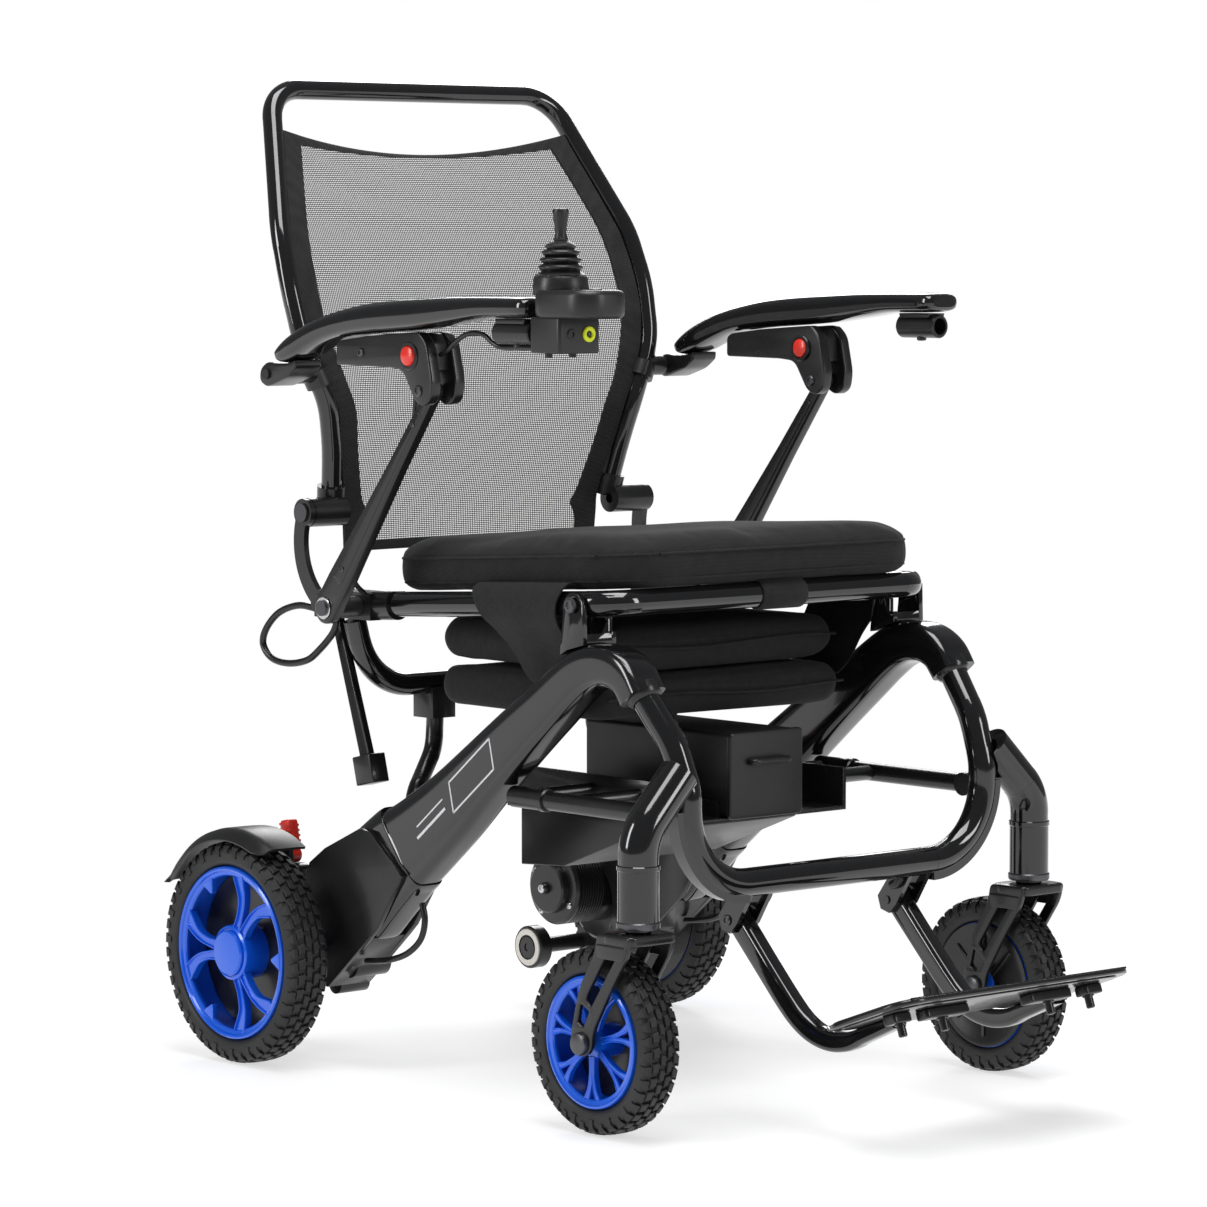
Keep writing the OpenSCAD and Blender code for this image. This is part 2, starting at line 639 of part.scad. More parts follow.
module seat_pins() {
    color("#b8b8bc") both_sides() {
        xcyl(knuckle_x0 + 6, knuckle_x1 + link_t + 3, back_pin_y, back_pin_z, pin_r);
        xcyl(knuckle_x1 + link_t + 0.8, knuckle_x1 + link_t + 3, back_pin_y, back_pin_z, 9);
        xcyl(rail_x - 12, strut_x + strut_t / 2 + 4, strut_pin_y, strut_pin_z, pin_r);
        xcyl(strut_x + strut_t / 2 + 0.5, strut_x + strut_t / 2 + 4, strut_pin_y, strut_pin_z, 7.5);
        xcyl(rail_x + 16.2, strut_x - strut_t / 2 - 0.3, strut_pin_y, strut_pin_z, 10);
    }
}

module seat_rear_tube() {
    color("#0b0b0d") bent_tube([[-rail_x, bow_y, 431.5], [-180, bow_y, bow_z],
        [180, bow_y, bow_z], [rail_x, bow_y, 431.5]], [0, 62, 62, 0], bow_r);
}

module rear_supports() {
    color("#0b0b0d") both_sides() {
        difference() {
            union() {
                bent_tube([[100, bow_y - 2, 350], [104, bow_y - 4, 302], [148, 222, 262], [160, 214, 206]],
                    [0, 30, 40, 0], 8.5);
                translate([86, bow_y - 15, 332]) cube([28, 30, 30]);
            }
            xcyl(60, 140, bow_y, bow_z, bow_r + seat_gap);
        }
        translate([154, 196, 196]) cube([16.5, 34, 26]);
    }
}

module stand_legs() {
    color("#0d0d0f") both_sides() {
        xplate(193, 8) polygon([[284, 433.5], [272, 433.5], [224, 299], [239, 299]]);
        // Rubber tip
        xplate(187, 20) polygon([[218, 306], [244, 300], [237, 273], [211, 279]]);
    }
}

module seat_cushion() {
    r = 46;
    color("#2a2a2c") seat_space() translate([0, 130, seat_z_above])
        union() {
            for (layer = [[0, 3, 5], [3, 0, cushion_t - 8], [cushion_t - 5, 4, 5]])
                translate([0, 0, layer[0]]) linear_extrude(height = layer[2]) union() {
                    square([cushion_w - 2 * r - 2 * layer[1], cushion_d - 2 * layer[1]], center = true);
                    square([cushion_w - 2 * layer[1], cushion_d - 2 * r - 2 * layer[1]], center = true);
                    for (i = [-1, 1])
                        for (j = [-1, 1])
                            translate([i * (cushion_w / 2 - r - layer[1]), j * (cushion_d / 2 - r - layer[1])])
                                circle(r = r);
                }
        }
}

module seat_bag() {
    color("#232325") {
        // Two folded layers and the pouch behind them
        translate([-156, -52, 391]) cube([312, 238, 50]);
        translate([-158, -62, 350]) cube([316, 244, 40]);
        translate([-150, -44, 389]) cube([300, 200, 3]);
        both_sides() {
            // Side flap that hangs the bag on the rail
            translate([0, -66, 0]) rotate([90, 0, 0]) mirror([0, 0, 1]) linear_extrude(height = 120)
                polygon([[212, 470], [215, 468], [215, 446], [172, 418], [172, 378], [155, 378], [155, 425],
                    [210.5, 448], [210.5, 466]]);
        }
    }
}

module release_loop() {
    color("#0a0a0a") cable(loop_route, 3.5);
}

// ---- back ----
module back_frame() {
    n = len(back_route);
    color("#0b0b0d") bent_tube([for (p = back_route) p,
        for (i = [n - 1 : -1 : 0]) [-back_route[i][0], back_route[i][1], back_route[i][2]]],
        [for (b = back_bends) b, for (i = [n - 1 : -1 : 0]) back_bends[i]], back_r);
}

module back_knuckles() {
    low = back_route[0];
    dir = unit(back_route[1] - low);
    // Straight stretch of the tube beside the armrest pivot
    mid = back_route[2];
    mid_dir = unit(back_route[3] - mid);
    color("#101012") both_sides() difference() {
        union() {
            xcyl(knuckle_x0, knuckle_x1, back_pin_y, back_pin_z, 14);
            rod(low - dir * 4, low + dir * 18, back_r + 4);
            // Collar that carries the armrest pivot
            rod(mid + mid_dir * 19, mid + mid_dir * 35, back_r + 4);
            xcyl(212, 233, arm_pin_y, arm_pin_z, 10);
            xcyl(226, arm_x + 17, arm_pin_y, arm_pin_z, pin_r);
        }
        rod(low - dir * 0.2, low + dir * 60, back_r + pin_gap);
        rod(mid + mid_dir * 17.5, mid + mid_dir * 36.5, back_r + pin_gap);
        rod(mid + mid_dir * 35.5, mid + mid_dir * 56, back_r + 0.6);
        xcyl(100, 300, back_pin_y, back_pin_z, pin_r + pin_gap);
    }
}

module back_mesh() {
    n = len(mesh_line);
    sag = 10;
    cols = 8;
    color("#77777a") skin([for (q = mesh_line)
        concat([for (i = [0 : cols]) let (u = 2 * i / cols - 1) [q[0] * u, q[1] - mesh_t / 2 + sag * (1 - u * u), q[2]]],
            [for (i = [cols : -1 : 0]) let (u = 2 * i / cols - 1)
                [q[0] * u, q[1] + mesh_t / 2 + sag * (1 - u * u), q[2]]])]);
}

// ---- arms ----
module armrest() {
    color("#0c0c0e") band(arm_line, arm_x, arm_w, 16);
}

module arm_bracket() {
    x0 = strut_x - bracket_w / 2;
    color("#161618") {
        difference() {
            union() {
                xplate(x0, bracket_w) polygon([[186, 677], [186, 699.5], [180, 702], [140, 706.6], [100, 709.3], [62, 711.5], [46, 660], [50, 646],
                    [62, 642], [72, 648], [92, 676]]);
                xcyl(x0 - 1.5, x0 + bracket_w + 1.5, button_y, button_z, button_r + 3);
            }
            // Slot for the strut's upper end
            xplate(strut_x - strut_t / 2 - 2, strut_t + 4) polygon([[20, 600], [120, 600], [120, 664], [84, 671],
                [52, 671], [20, 660]]);
            xcyl(100, 400, button_y, button_z, button_r + pin_gap);
            // Way in for the lead
            translate([x0 + 4.5, 90.2, 664]) cube([9.5, 44, 36]);
        }
        // Pivot lug below the rear of the armrest
        difference() {
            xplate(arm_x - 17, 32) union() {
                translate([arm_pin_y, arm_pin_z]) circle(r = 12);
                polygon([[286, 656.6], [262, 664], [248, 674], [248, 681.6], [264, 677.6], [281, 677],
                    [292, 678]]);
            }
            xcyl(100, 400, arm_pin_y, arm_pin_z, pin_r + pin_gap);
        }
        // Receiver for a controller bar
        difference() {
            translate([arm_x - 15, arm_front_y + 6, 701]) cube([30, 50, 22.2]);
            translate([arm_x, arm_front_y, 711]) rotate([-90, 0, 0]) cylinder(h = 60, r = ctl_bar_r + pin_gap);
        }
        // Screws beside the strut's upper end
        xcyl(x0 - 2, x0, strut_top_y, strut_top_z, 5);
        xcyl(x0 + bracket_w, x0 + bracket_w + 2, strut_top_y, strut_top_z, 5);
    }
}

module release_button() {
    color("#ee3424") xcyl(strut_x - bracket_w / 2 - 4, strut_x + bracket_w / 2 + 4, button_y, button_z, button_r);
}

module strut() {
    d = unit([strut_pin_y - strut_top_y, strut_pin_z - strut_top_z]);
    side = [-d[1], d[0]];
    top = [strut_top_y, strut_top_z];
    low = [strut_pin_y, strut_pin_z];
    color("#161618") difference() {
        xplate(strut_x - strut_t / 2, strut_t) union() {
            polygon([top + side * 6.5, top - side * 6.5, low - d * 40 - side * 15, low - side * 15,
                low + side * 15, low - d * 40 + side * 15]);
            translate(top) circle(r = 6.5);
            translate(low) circle(r = 15);
        }
        xcyl(100, 400, strut_pin_y, strut_pin_z, pin_r + pin_gap);
    }
}

module arm_cable() {
    color("#0a0a0a") cable(arm_cable_route, 2.5);
}

module strut_cable() {
    color("#0a0a0a") cable(strut_cable_route, 2.5);
}

// ---- hand controller, on the right armrest ----
module controller() {
    low_w = 48;
    color("#1a1a1c") {
        difference() {
            union() {
                translate([-arm_x - ctl_w / 2, ctl_y - 67 + 18, ctl_top_z - 26]) cube([ctl_w, ctl_d - 18, 26]);
                translate([-arm_x - ctl_w / 2 + 16, ctl_y - 67, ctl_top_z - 24]) cube([ctl_w - 32, 30, 24]);
                for (k = [-1, 1])
                    translate([-arm_x + k * (ctl_w / 2 - 18), ctl_y - 49, ctl_top_z - 24]) cylinder(h = 24, r = 18);
                translate([-arm_x, ctl_y, ctl_top_z]) cylinder(h = 12, r = 24);
            }
            translate([-arm_x, ctl_y, ctl_top_z - 4]) cylinder(h = 30, r = 20);
            translate([-arm_x, ctl_y - 46, ctl_top_z - 4.5]) cylinder(h = 10, r = 6.8);
        }
        translate([-arm_x - low_w / 2, ctl_y - 26, ctl_top_z - 56]) cube([low_w, 41, 30]);
        for (k = [-1, 1])
            translate([-arm_x + k * 14, ctl_y, ctl_top_z - 60]) cylinder(h = 4, r = 3.5);
        // Bar that slides into the armrest's receiver
        translate([-arm_x, ctl_y + 14, 711]) rotate([-90, 0, 0]) cylinder(h = 62, r = ctl_bar_r);
    }
    // Charging socket's coloured ring
    color("#d8e02a") translate([-arm_x + 10, ctl_y - 26, 711]) rotate([90, 0, 0]) difference() {
        cylinder(h = 2, r = 7);
        translate([0, 0, -1]) cylinder(h = 4, r = 3);
    }
}

module joystick_gimbal() {
    color("#3a3a3e") difference() {
        union() {
            xcyl(-arm_x - 19.6, -arm_x + 19.6, ctl_y, ctl_top_z + 5, 4);
            translate([-arm_x, ctl_y + 7, ctl_top_z + 5]) rotate([90, 0, 0]) cylinder(h = 14, r = 3);
        }
        translate([-arm_x - 8, ctl_y - 5, ctl_top_z + 7.5]) cube([16, 10, 5]);
    }
}

module joystick_boot() {
    // Folds start above the collar, so that the boot tips with the stick and stays clear of it
    color("#111111") translate([-arm_x, ctl_y, ctl_top_z + 12]) difference() {
        rotate_extrude($fn = 64) polygon([[0, 3.5], [14, 3.5], [14, 8], [20, 11], [15.5, 13.8],
            [18.5, 16.6], [14.5, 19.4], [17, 22], [13, 24.8], [14.5, 27], [8, 31], [0, 31.5]]);
        translate([0, 0, -1]) cylinder(h = 40, r = 4 + pin_gap);
    }
}

module joystick_knob() {
    color("#111111") translate([-arm_x, ctl_y, ctl_top_z]) {
        translate([0, 0, 11]) cylinder(h = 40, r = 4);
        translate([0, 0, 44.5]) rotate_extrude($fn = 64) polygon([[0, 0], [5, 0], [knob_r, 6], [knob_r, 22],
            [knob_r - 1, 26], [knob_r - 3, 27.5], [0, 27.5]]);
    }
}

module power_button() {
    color("#303034") translate([-arm_x, ctl_y - 46, ctl_top_z - 2.6]) cylinder(h = 4, r = 6.5);
}

// ---- footrest ----
module footrest_arms() {
    color("#0c0c0e") both_sides() difference() {
        union() {
            band([[foot_pin_y + 8, foot_pin_z + 8, 14], [foot_pin_y, foot_pin_z, 22], [-225, 142, 22],
                [-254, 113, 22], [-272, 98, 21], [-290, 89, 20], [-310, 85, 19], [-328, 86.5, 18],
                [-340, 90, 16.5], [-350, 94.6, 15], [-372, 103.6, 13], [-392, 112, 11]], foot_x, foot_arm_w, 16);
        }
        xcyl(0, 200, foot_pin_y, foot_pin_z, foot_pin_r + pin_gap);
    }
}

module footplate() {
    color("#1b1b1d") translate([0, -394, 119]) rotate([-plate_tilt, 0, 0]) {
        linear_extrude(height = plate_t) union() {
            square([plate_w - 2 * plate_edge_r, plate_d], center = true);
            square([plate_w, plate_d - 2 * plate_edge_r], center = true);
            for (i = [-1, 1])
                for (j = [-1, 1])
                    translate([i * (plate_w / 2 - plate_edge_r), j * (plate_d / 2 - plate_edge_r)])
                        circle(r = plate_edge_r);
        }
        both_sides() {
            // Clamp bar and its two pegs
            translate([foot_x - 9.3 - 52, -24, -10]) cube([52, 16, 10]);
            translate([foot_x + 9.3, -24, -10]) cube([22, 16, 10]);
            for (x = [foot_x - 34, foot_x + 18])
                translate([x, -16, -22]) cylinder(h = 13, r = 4);
        }
    }
}

on_side(-1) side_arch();  // side_arch_right
on_side(1) side_arch();  // side_arch_left
front_loop();
on_side(-1) caster_branch();  // caster_branch_right
on_side(1) caster_branch();  // caster_branch_left
lower_braces();
battery_tray();
control_box();
battery_pack();
on_side(-1) motor();  // motor_right
on_side(1) motor();  // motor_left
motor_mounts();
motor_cables();
fenders();
anti_tip_arms();
on_side(-1) anti_tip_roller();  // anti_tip_roller_right
on_side(1) anti_tip_roller();  // anti_tip_roller_left
on_side(-1) freewheel_lever();  // freewheel_lever_right
on_side(1) freewheel_lever();  // freewheel_lever_left
seat_clevises();
rear_supports();
frame_pins();
on_side(-1) rear_tyre();  // rear_tyre_right
on_side(1) rear_tyre();  // rear_tyre_left
on_side(-1) rear_rim();  // rear_rim_right
on_side(1) rear_rim();  // rear_rim_left
on_side(-1) caster_fork();  // caster_fork_right
on_side(1) caster_fork();  // caster_fork_left
on_side(-1) caster_tyre();  // caster_tyre_right
on_side(1) caster_tyre();  // caster_tyre_left
on_side(-1) caster_rim();  // caster_rim_right
on_side(1) caster_rim();  // caster_rim_left
seat_frame();
seat_fittings();
seat_rear_tube();
seat_pins();
seat_cushion();
seat_bag();
stand_legs();
release_loop();
back_frame();
back_knuckles();
back_mesh();
on_side(-1) armrest();  // armrest_right
on_side(1) armrest();  // armrest_left
on_side(-1) arm_bracket();  // arm_bracket_right
on_side(1) arm_bracket();  // arm_bracket_left
on_side(-1) release_button();  // release_button_right
on_side(1) release_button();  // release_button_left
on_side(-1) strut();  // strut_right
on_side(1) strut();  // strut_left
arm_cable();
strut_cable();
controller();
joystick_gimbal();
joystick_boot();
joystick_knob();
power_button();
footrest_arms();
footplate();
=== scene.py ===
import math
import bmesh
import bpy
import numpy as np
from mathutils import Vector, Matrix
from mathutils.bvhtree import BVHTree


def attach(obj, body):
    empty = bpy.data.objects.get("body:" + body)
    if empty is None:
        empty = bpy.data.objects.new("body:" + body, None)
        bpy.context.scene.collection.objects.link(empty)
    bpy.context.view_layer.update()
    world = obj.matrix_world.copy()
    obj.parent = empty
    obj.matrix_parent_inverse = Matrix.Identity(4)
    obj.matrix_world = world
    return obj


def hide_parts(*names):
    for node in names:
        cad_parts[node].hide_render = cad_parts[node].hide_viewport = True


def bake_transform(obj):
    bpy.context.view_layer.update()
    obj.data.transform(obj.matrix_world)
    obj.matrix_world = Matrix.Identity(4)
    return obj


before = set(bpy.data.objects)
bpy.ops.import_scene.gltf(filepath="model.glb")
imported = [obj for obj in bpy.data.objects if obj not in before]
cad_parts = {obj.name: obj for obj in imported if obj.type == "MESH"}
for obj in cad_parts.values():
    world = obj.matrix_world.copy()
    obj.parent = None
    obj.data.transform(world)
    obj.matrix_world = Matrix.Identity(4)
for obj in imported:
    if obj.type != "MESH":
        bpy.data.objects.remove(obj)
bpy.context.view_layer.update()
MM = 0.001

# ---------------------------------------------------------------- camera
cam = bpy.data.objects.new("camera", bpy.data.cameras.new("camera"))
bpy.context.collection.objects.link(cam)
cam.location = (-3.0038, -3.3142, 0.7925)
cam.rotation_euler = (math.radians(85.64), 0, math.radians(-41.22))
cam.data.lens = 141.57
cam.data.sensor_width = 36
cam.data.clip_end = 60
scene = bpy.context.scene
scene.camera = cam
scene.view_settings.view_transform = "Standard"


# ---------------------------------------------------------------- materials
def node_tools(mat):
    mat.use_nodes = True
    nt = mat.node_tree
    bsdf = nt.nodes["Principled BSDF"]
    coord = nt.nodes.new("ShaderNodeTexCoord")

    def add(kind, **props):
        n = nt.nodes.new(kind)
        for k, v in props.items():
            setattr(n, k, v)
        return n
    return nt, bsdf, coord, add


def math_node(nt, add, op, a, b=None, c=None):
    m = add("ShaderNodeMath", operation=op)
    for i, v in enumerate((a, b, c)):
        if v is None:
            continue
        if isinstance(v, (int, float)):
            m.inputs[i].default_value = v
        else:
            nt.links.new(v, m.inputs[i])
    return m.outputs[0]


def noise_node(nt, add, vector, scale, detail=2.0):
    n = add("ShaderNodeTexNoise")
    n.inputs["Scale"].default_value = scale
    n.inputs["Detail"].default_value = detail
    nt.links.new(vector, n.inputs["Vector"])
    return n.outputs["Fac"]


def colour_mix(nt, add, bsdf, a, b, factor):
    """Base colour between a and b."""
    mix = add("ShaderNodeMix", data_type="RGBA")
    mix.inputs["A"].default_value = (*a, 1)
    mix.inputs["B"].default_value = (*b, 1)
    nt.links.new(factor, mix.inputs["Factor"])
    nt.links.new(mix.outputs["Result"], bsdf.inputs["Base Color"])


def relief(nt, add, bsdf, height, strength, distance):
    bp = add("ShaderNodeBump")
    bp.inputs["Strength"].default_value = strength
    bp.inputs["Distance"].default_value = distance
    nt.links.new(height, bp.inputs["Height"])
    nt.links.new(bp.outputs[0], bsdf.inputs["Normal"])


def spread(nt, add, value, socket, low, high):
    """Feeds value into the socket, mapped to the range low to high."""
    r = add("ShaderNodeMapRange")
    r.inputs["To Min"].default_value = low
    r.inputs["To Max"].default_value = high
    nt.links.new(value, r.inputs["Value"])
    nt.links.new(r.outputs[0], socket)
    return r


def finish_material(name, color, rough, metal=0.0, coat=0.0, grain=900, bump=0.05, depth=0.00005,
                    vary=0.12, blotch=14, tint=None, spec=0.5, stretch=(1, 1, 1)):
    """Colour and roughness vary in soft patches, over a fine grain."""
    mat = bpy.data.materials.new(name)
    nt, bsdf, coord, add = node_tools(mat)
    soft = noise_node(nt, add, coord.outputs["Object"], blotch, 6)
    mp = add("ShaderNodeMapping")
    mp.inputs["Scale"].default_value = stretch
    nt.links.new(coord.outputs["Object"], mp.inputs["Vector"])
    fine = noise_node(nt, add, mp.outputs[0], grain, 3)
    ramp = spread(nt, add, soft, bsdf.inputs["Roughness"], max(rough - vary / 2, 0.02),
                  min(rough + vary / 2, 1))
    ramp.inputs["From Min"].default_value = 0.3
    ramp.inputs["From Max"].default_value = 0.7
    colour_mix(nt, add, bsdf, color, tint or [min(c * 1.35 + 0.004, 1) for c in color], fine)
    relief(nt, add, bsdf, fine, bump, depth)
    bsdf.inputs["Metallic"].default_value = metal
    bsdf.inputs["Coat Weight"].default_value = coat
    bsdf.inputs["Coat Roughness"].default_value = 0.06
    bsdf.inputs["Specular IOR Level"].default_value = spec
    return mat


def waves(nt, add, coord, axis, pitch, phase=0.0):
    """Sine of the place along one axis, with the period pitch."""
    sep = add("ShaderNodeSeparateXYZ")
    nt.links.new(coord, sep.inputs[0])
    k = math_node(nt, add, "MULTIPLY_ADD", sep.outputs[axis], 2 * math.pi / pitch, phase)
    return math_node(nt, add, "SINE", k)


def woven_material(name, color, light, pitch, rough=0.8, sheen=0.05, depth=0.0003, slub=60):
    """Plain-woven cloth: threads over and under, with slubs and worn patches."""
    mat = bpy.data.materials.new(name)
    nt, bsdf, coord, add = node_tools(mat)
    o = coord.outputs["Object"]
    diag = add("ShaderNodeVectorRotate", rotation_type="EULER_XYZ")
    diag.inputs["Rotation"].default_value = (0.35, 0.3, 0.78)
    nt.links.new(o, diag.inputs["Vector"])
    a, b, c = (waves(nt, add, diag.outputs[0], axis, pitch) for axis in range(3))
    weave = math_node(nt, add, "ADD", math_node(nt, add, "MULTIPLY", a, b),
                      math_node(nt, add, "MULTIPLY", c, b))
    mixed = math_node(nt, add, "MULTIPLY_ADD", weave, 0.22, noise_node(nt, add, o, slub, 8))
    colour_mix(nt, add, bsdf, color, light, mixed)
    relief(nt, add, bsdf, mixed, 0.7, depth)
    bsdf.inputs["Roughness"].default_value = rough
    bsdf.inputs["Sheen Weight"].default_value = sheen
    bsdf.inputs["Specular IOR Level"].default_value = 0.3
    return mat


def carbon_material():
    """Lacquered tube with a faint twill under the clear coat."""
    mat = bpy.data.materials.new("carbon_lacquer")
    nt, bsdf, coord, add = node_tools(mat)
    o = coord.outputs["Object"]
    a = waves(nt, add, o, 1, 0.004)
    b = waves(nt, add, o, 2, 0.004, 1.57)
    twill = math_node(nt, add, "MULTIPLY", a, b)
    f = math_node(nt, add, "MULTIPLY_ADD", twill, 0.5, 0.5)
    colour_mix(nt, add, bsdf, (0.003, 0.003, 0.0035), (0.009, 0.009, 0.01), f)
    spread(nt, add, noise_node(nt, add, o, 22), bsdf.inputs["Roughness"], 0.1, 0.2)
    bsdf.inputs["Coat Weight"].default_value = 0.5
    bsdf.inputs["Coat Roughness"].default_value = 0.05
    return mat


def net_material():
    """See-through knitted mesh: rows of small holes set half a pitch apart."""
    mat = bpy.data.materials.new("back_net")
    nt, bsdf, coord, add = node_tools(mat)
    o = coord.outputs["Object"]
    a = waves(nt, add, o, 0, 0.0046)
    b = waves(nt, add, o, 2, 0.0038)
    prod = math_node(nt, add, "MULTIPLY", a, b)
    hole = math_node(nt, add, "GREATER_THAN", math_node(nt, add, "ABSOLUTE", prod), 0.56)
    nt.links.new(math_node(nt, add, "SUBTRACT", 1.0, hole), bsdf.inputs["Alpha"])
    colour_mix(nt, add, bsdf, (0.012, 0.012, 0.013), (0.06, 0.06, 0.063), noise_node(nt, add, o, 500))
    relief(nt, add, bsdf, prod, 1.0, 0.0006)
    bsdf.inputs["Roughness"].default_value = 0.6
    bsdf.inputs["Sheen Weight"].default_value = 0.1
    return mat


M = {
    "gloss": finish_material("gloss_paint", (0.0035, 0.0035, 0.004), 0.1, coat=0.6, grain=260, bump=0.02,
                             vary=0.05),
    "satin": finish_material("satin_paint", (0.006, 0.006, 0.0065), 0.3, coat=0.15, grain=1400, bump=0.15,
                             vary=0.14),
    "carbon": carbon_material(),
    "plastic": finish_material("moulded_plastic", (0.008, 0.008, 0.0085), 0.38, grain=1700, bump=0.35,
                               vary=0.12),
    "plate": finish_material("plate_coating", (0.008, 0.008, 0.0085), 0.22, coat=0.2, grain=1100, bump=0.25),
    "steel": finish_material("pin_steel", (0.55, 0.55, 0.57), 0.28, metal=1.0, grain=2400, bump=0.12,
                             stretch=(0.05, 1, 1)),
    "dark_steel": finish_material("dark_steel", (0.09, 0.09, 0.095), 0.35, metal=0.9, grain=1200, bump=0.1),
    "tyre": finish_material("tyre_rubber", (0.006, 0.006, 0.006), 0.55, grain=1500, bump=0.5, depth=0.0001,
                            vary=0.2, tint=(0.014, 0.014, 0.014)),
    "blue": finish_material("rim_blue", (0.004, 0.1, 0.7), 0.22, metal=0.1, coat=0.5, grain=1800, bump=0.06,
                            tint=(0.007, 0.125, 0.8)),
    "red": finish_material("signal_red", (0.75, 0.02, 0.012), 0.3, coat=0.3, grain=900, bump=0.05,
                           tint=(0.82, 0.04, 0.02)),
    "yellow": finish_material("socket_yellow", (0.62, 0.7, 0.01), 0.4, grain=900, bump=0.05),
    "rubber": finish_material("boot_rubber", (0.005, 0.005, 0.005), 0.32, grain=1300, bump=0.3, vary=0.2),
    "cable": finish_material("cable_sheath", (0.005, 0.005, 0.005), 0.28, grain=900, bump=0.1),
    "white": finish_material("roller_white", (0.62, 0.6, 0.55), 0.45, grain=900, bump=0.1),
    "pin": finish_material("stripe_ink", (0.6, 0.6, 0.62), 0.4, grain=900, bump=0.02),
    "cloth": woven_material("seat_cloth", (0.004, 0.004, 0.0045), (0.016, 0.016, 0.017), 0.0016, slub=90),
    "bag": woven_material("bag_cloth", (0.004, 0.004, 0.0045), (0.018, 0.018, 0.019), 0.0012, slub=140),
    "band": woven_material("border_band", (0.004, 0.004, 0.004), (0.02, 0.02, 0.021), 0.003, depth=0.0006),
    "net": net_material(),
}


# ---------------------------------------------------------------- mesh tools
def place(obj, body, mat, *nodes):
    obj.data.materials.clear()
    obj.data.materials.append(M[mat])
    if body:
        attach(obj, body)
    if nodes:
        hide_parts(*nodes)
    return obj


def solid(name, verts, faces, sharp=35):
    me = bpy.data.meshes.new(name)
    me.from_pydata([tuple(v) for v in verts], [], [tuple(f) for f in faces])
    me.validate()
    me.update()
    me.shade_smooth()
    me.set_sharp_from_angle(angle=math.radians(sharp))
    obj = bpy.data.objects.new(name, me)
    bpy.context.collection.objects.link(obj)
    return obj


def bake(obj, sharp=35):
    """Applies the modifiers."""
    dg = bpy.context.evaluated_depsgraph_get()
    me = bpy.data.meshes.new_from_object(obj.evaluated_get(dg))
    obj.modifiers.clear()
    obj.data = me
    if sharp:
        me.shade_smooth()
        me.set_sharp_from_angle(angle=math.radians(sharp))
    return obj


def soften(obj, width, segments=2, sharp=35, angle=30):
    m = obj.modifiers.new("bevel", "BEVEL")
    m.width = width * MM
    m.segments = segments
    m.limit_method = "ANGLE"
    m.angle_limit = math.radians(angle)
    return bake(obj, sharp)


def join(name, objs):
    bpy.ops.object.select_all(action="DESELECT")
    for o in objs:
        o.select_set(True)
    bpy.context.view_layer.objects.active = objs[0]
    bpy.ops.object.join()
    objs[0].name = name
    objs[0].data.name = name
    return objs[0]


def spline(points, per=8):
    """Catmull-Rom curve through the points, whatever their width."""
    p = np.array(points, float)
    p = np.vstack([2 * p[0] - p[1], p, 2 * p[-1] - p[-2]])
    out = []
    for i in range(1, len(p) - 2):
        for k in range(per):
            t = k / per
            out.append(0.5 * (2 * p[i] + (p[i + 1] - p[i - 1]) * t
                              + (2 * p[i - 1] - 5 * p[i] + 4 * p[i + 1] - p[i + 2]) * t * t
                              + (3 * p[i] - p[i - 1] - 3 * p[i + 1] + p[i + 2]) * t ** 3))
    out.append(p[-2])
    return np.array(out)


def loft(name, rings, closed=False, caps=True, sharp=35):
    n, m = len(rings), len(rings[0])
    verts = [tuple(np.array(v) * MM) for r in rings for v in r]
    faces = []
    for i in range(n if closed else n - 1):
        for j in range(m):
            a, b = i * m + j, i * m + (j + 1) % m
            c, d = ((i + 1) % n) * m + (j + 1) % m, ((i + 1) % n) * m + j
            faces.append((a, b, c, d))
    if caps and not closed:
        faces.append(tuple(range(m - 1, -1, -1)))
        faces.append(tuple((n - 1) * m + j for j in range(m)))
    obj = solid(name, verts, faces, sharp)
    fix_normals(obj)
    return obj


def fix_normals(obj, merge=0.0):
    """Turns every face outwards, after the points within merge of each other are joined."""
    bm = bmesh.new()
    bm.from_mesh(obj.data)
    if merge:
        bmesh.ops.remove_doubles(bm, verts=bm.verts, dist=merge)
    bmesh.ops.recalc_face_normals(bm, faces=bm.faces)
    bm.to_mesh(obj.data)
    bm.free()


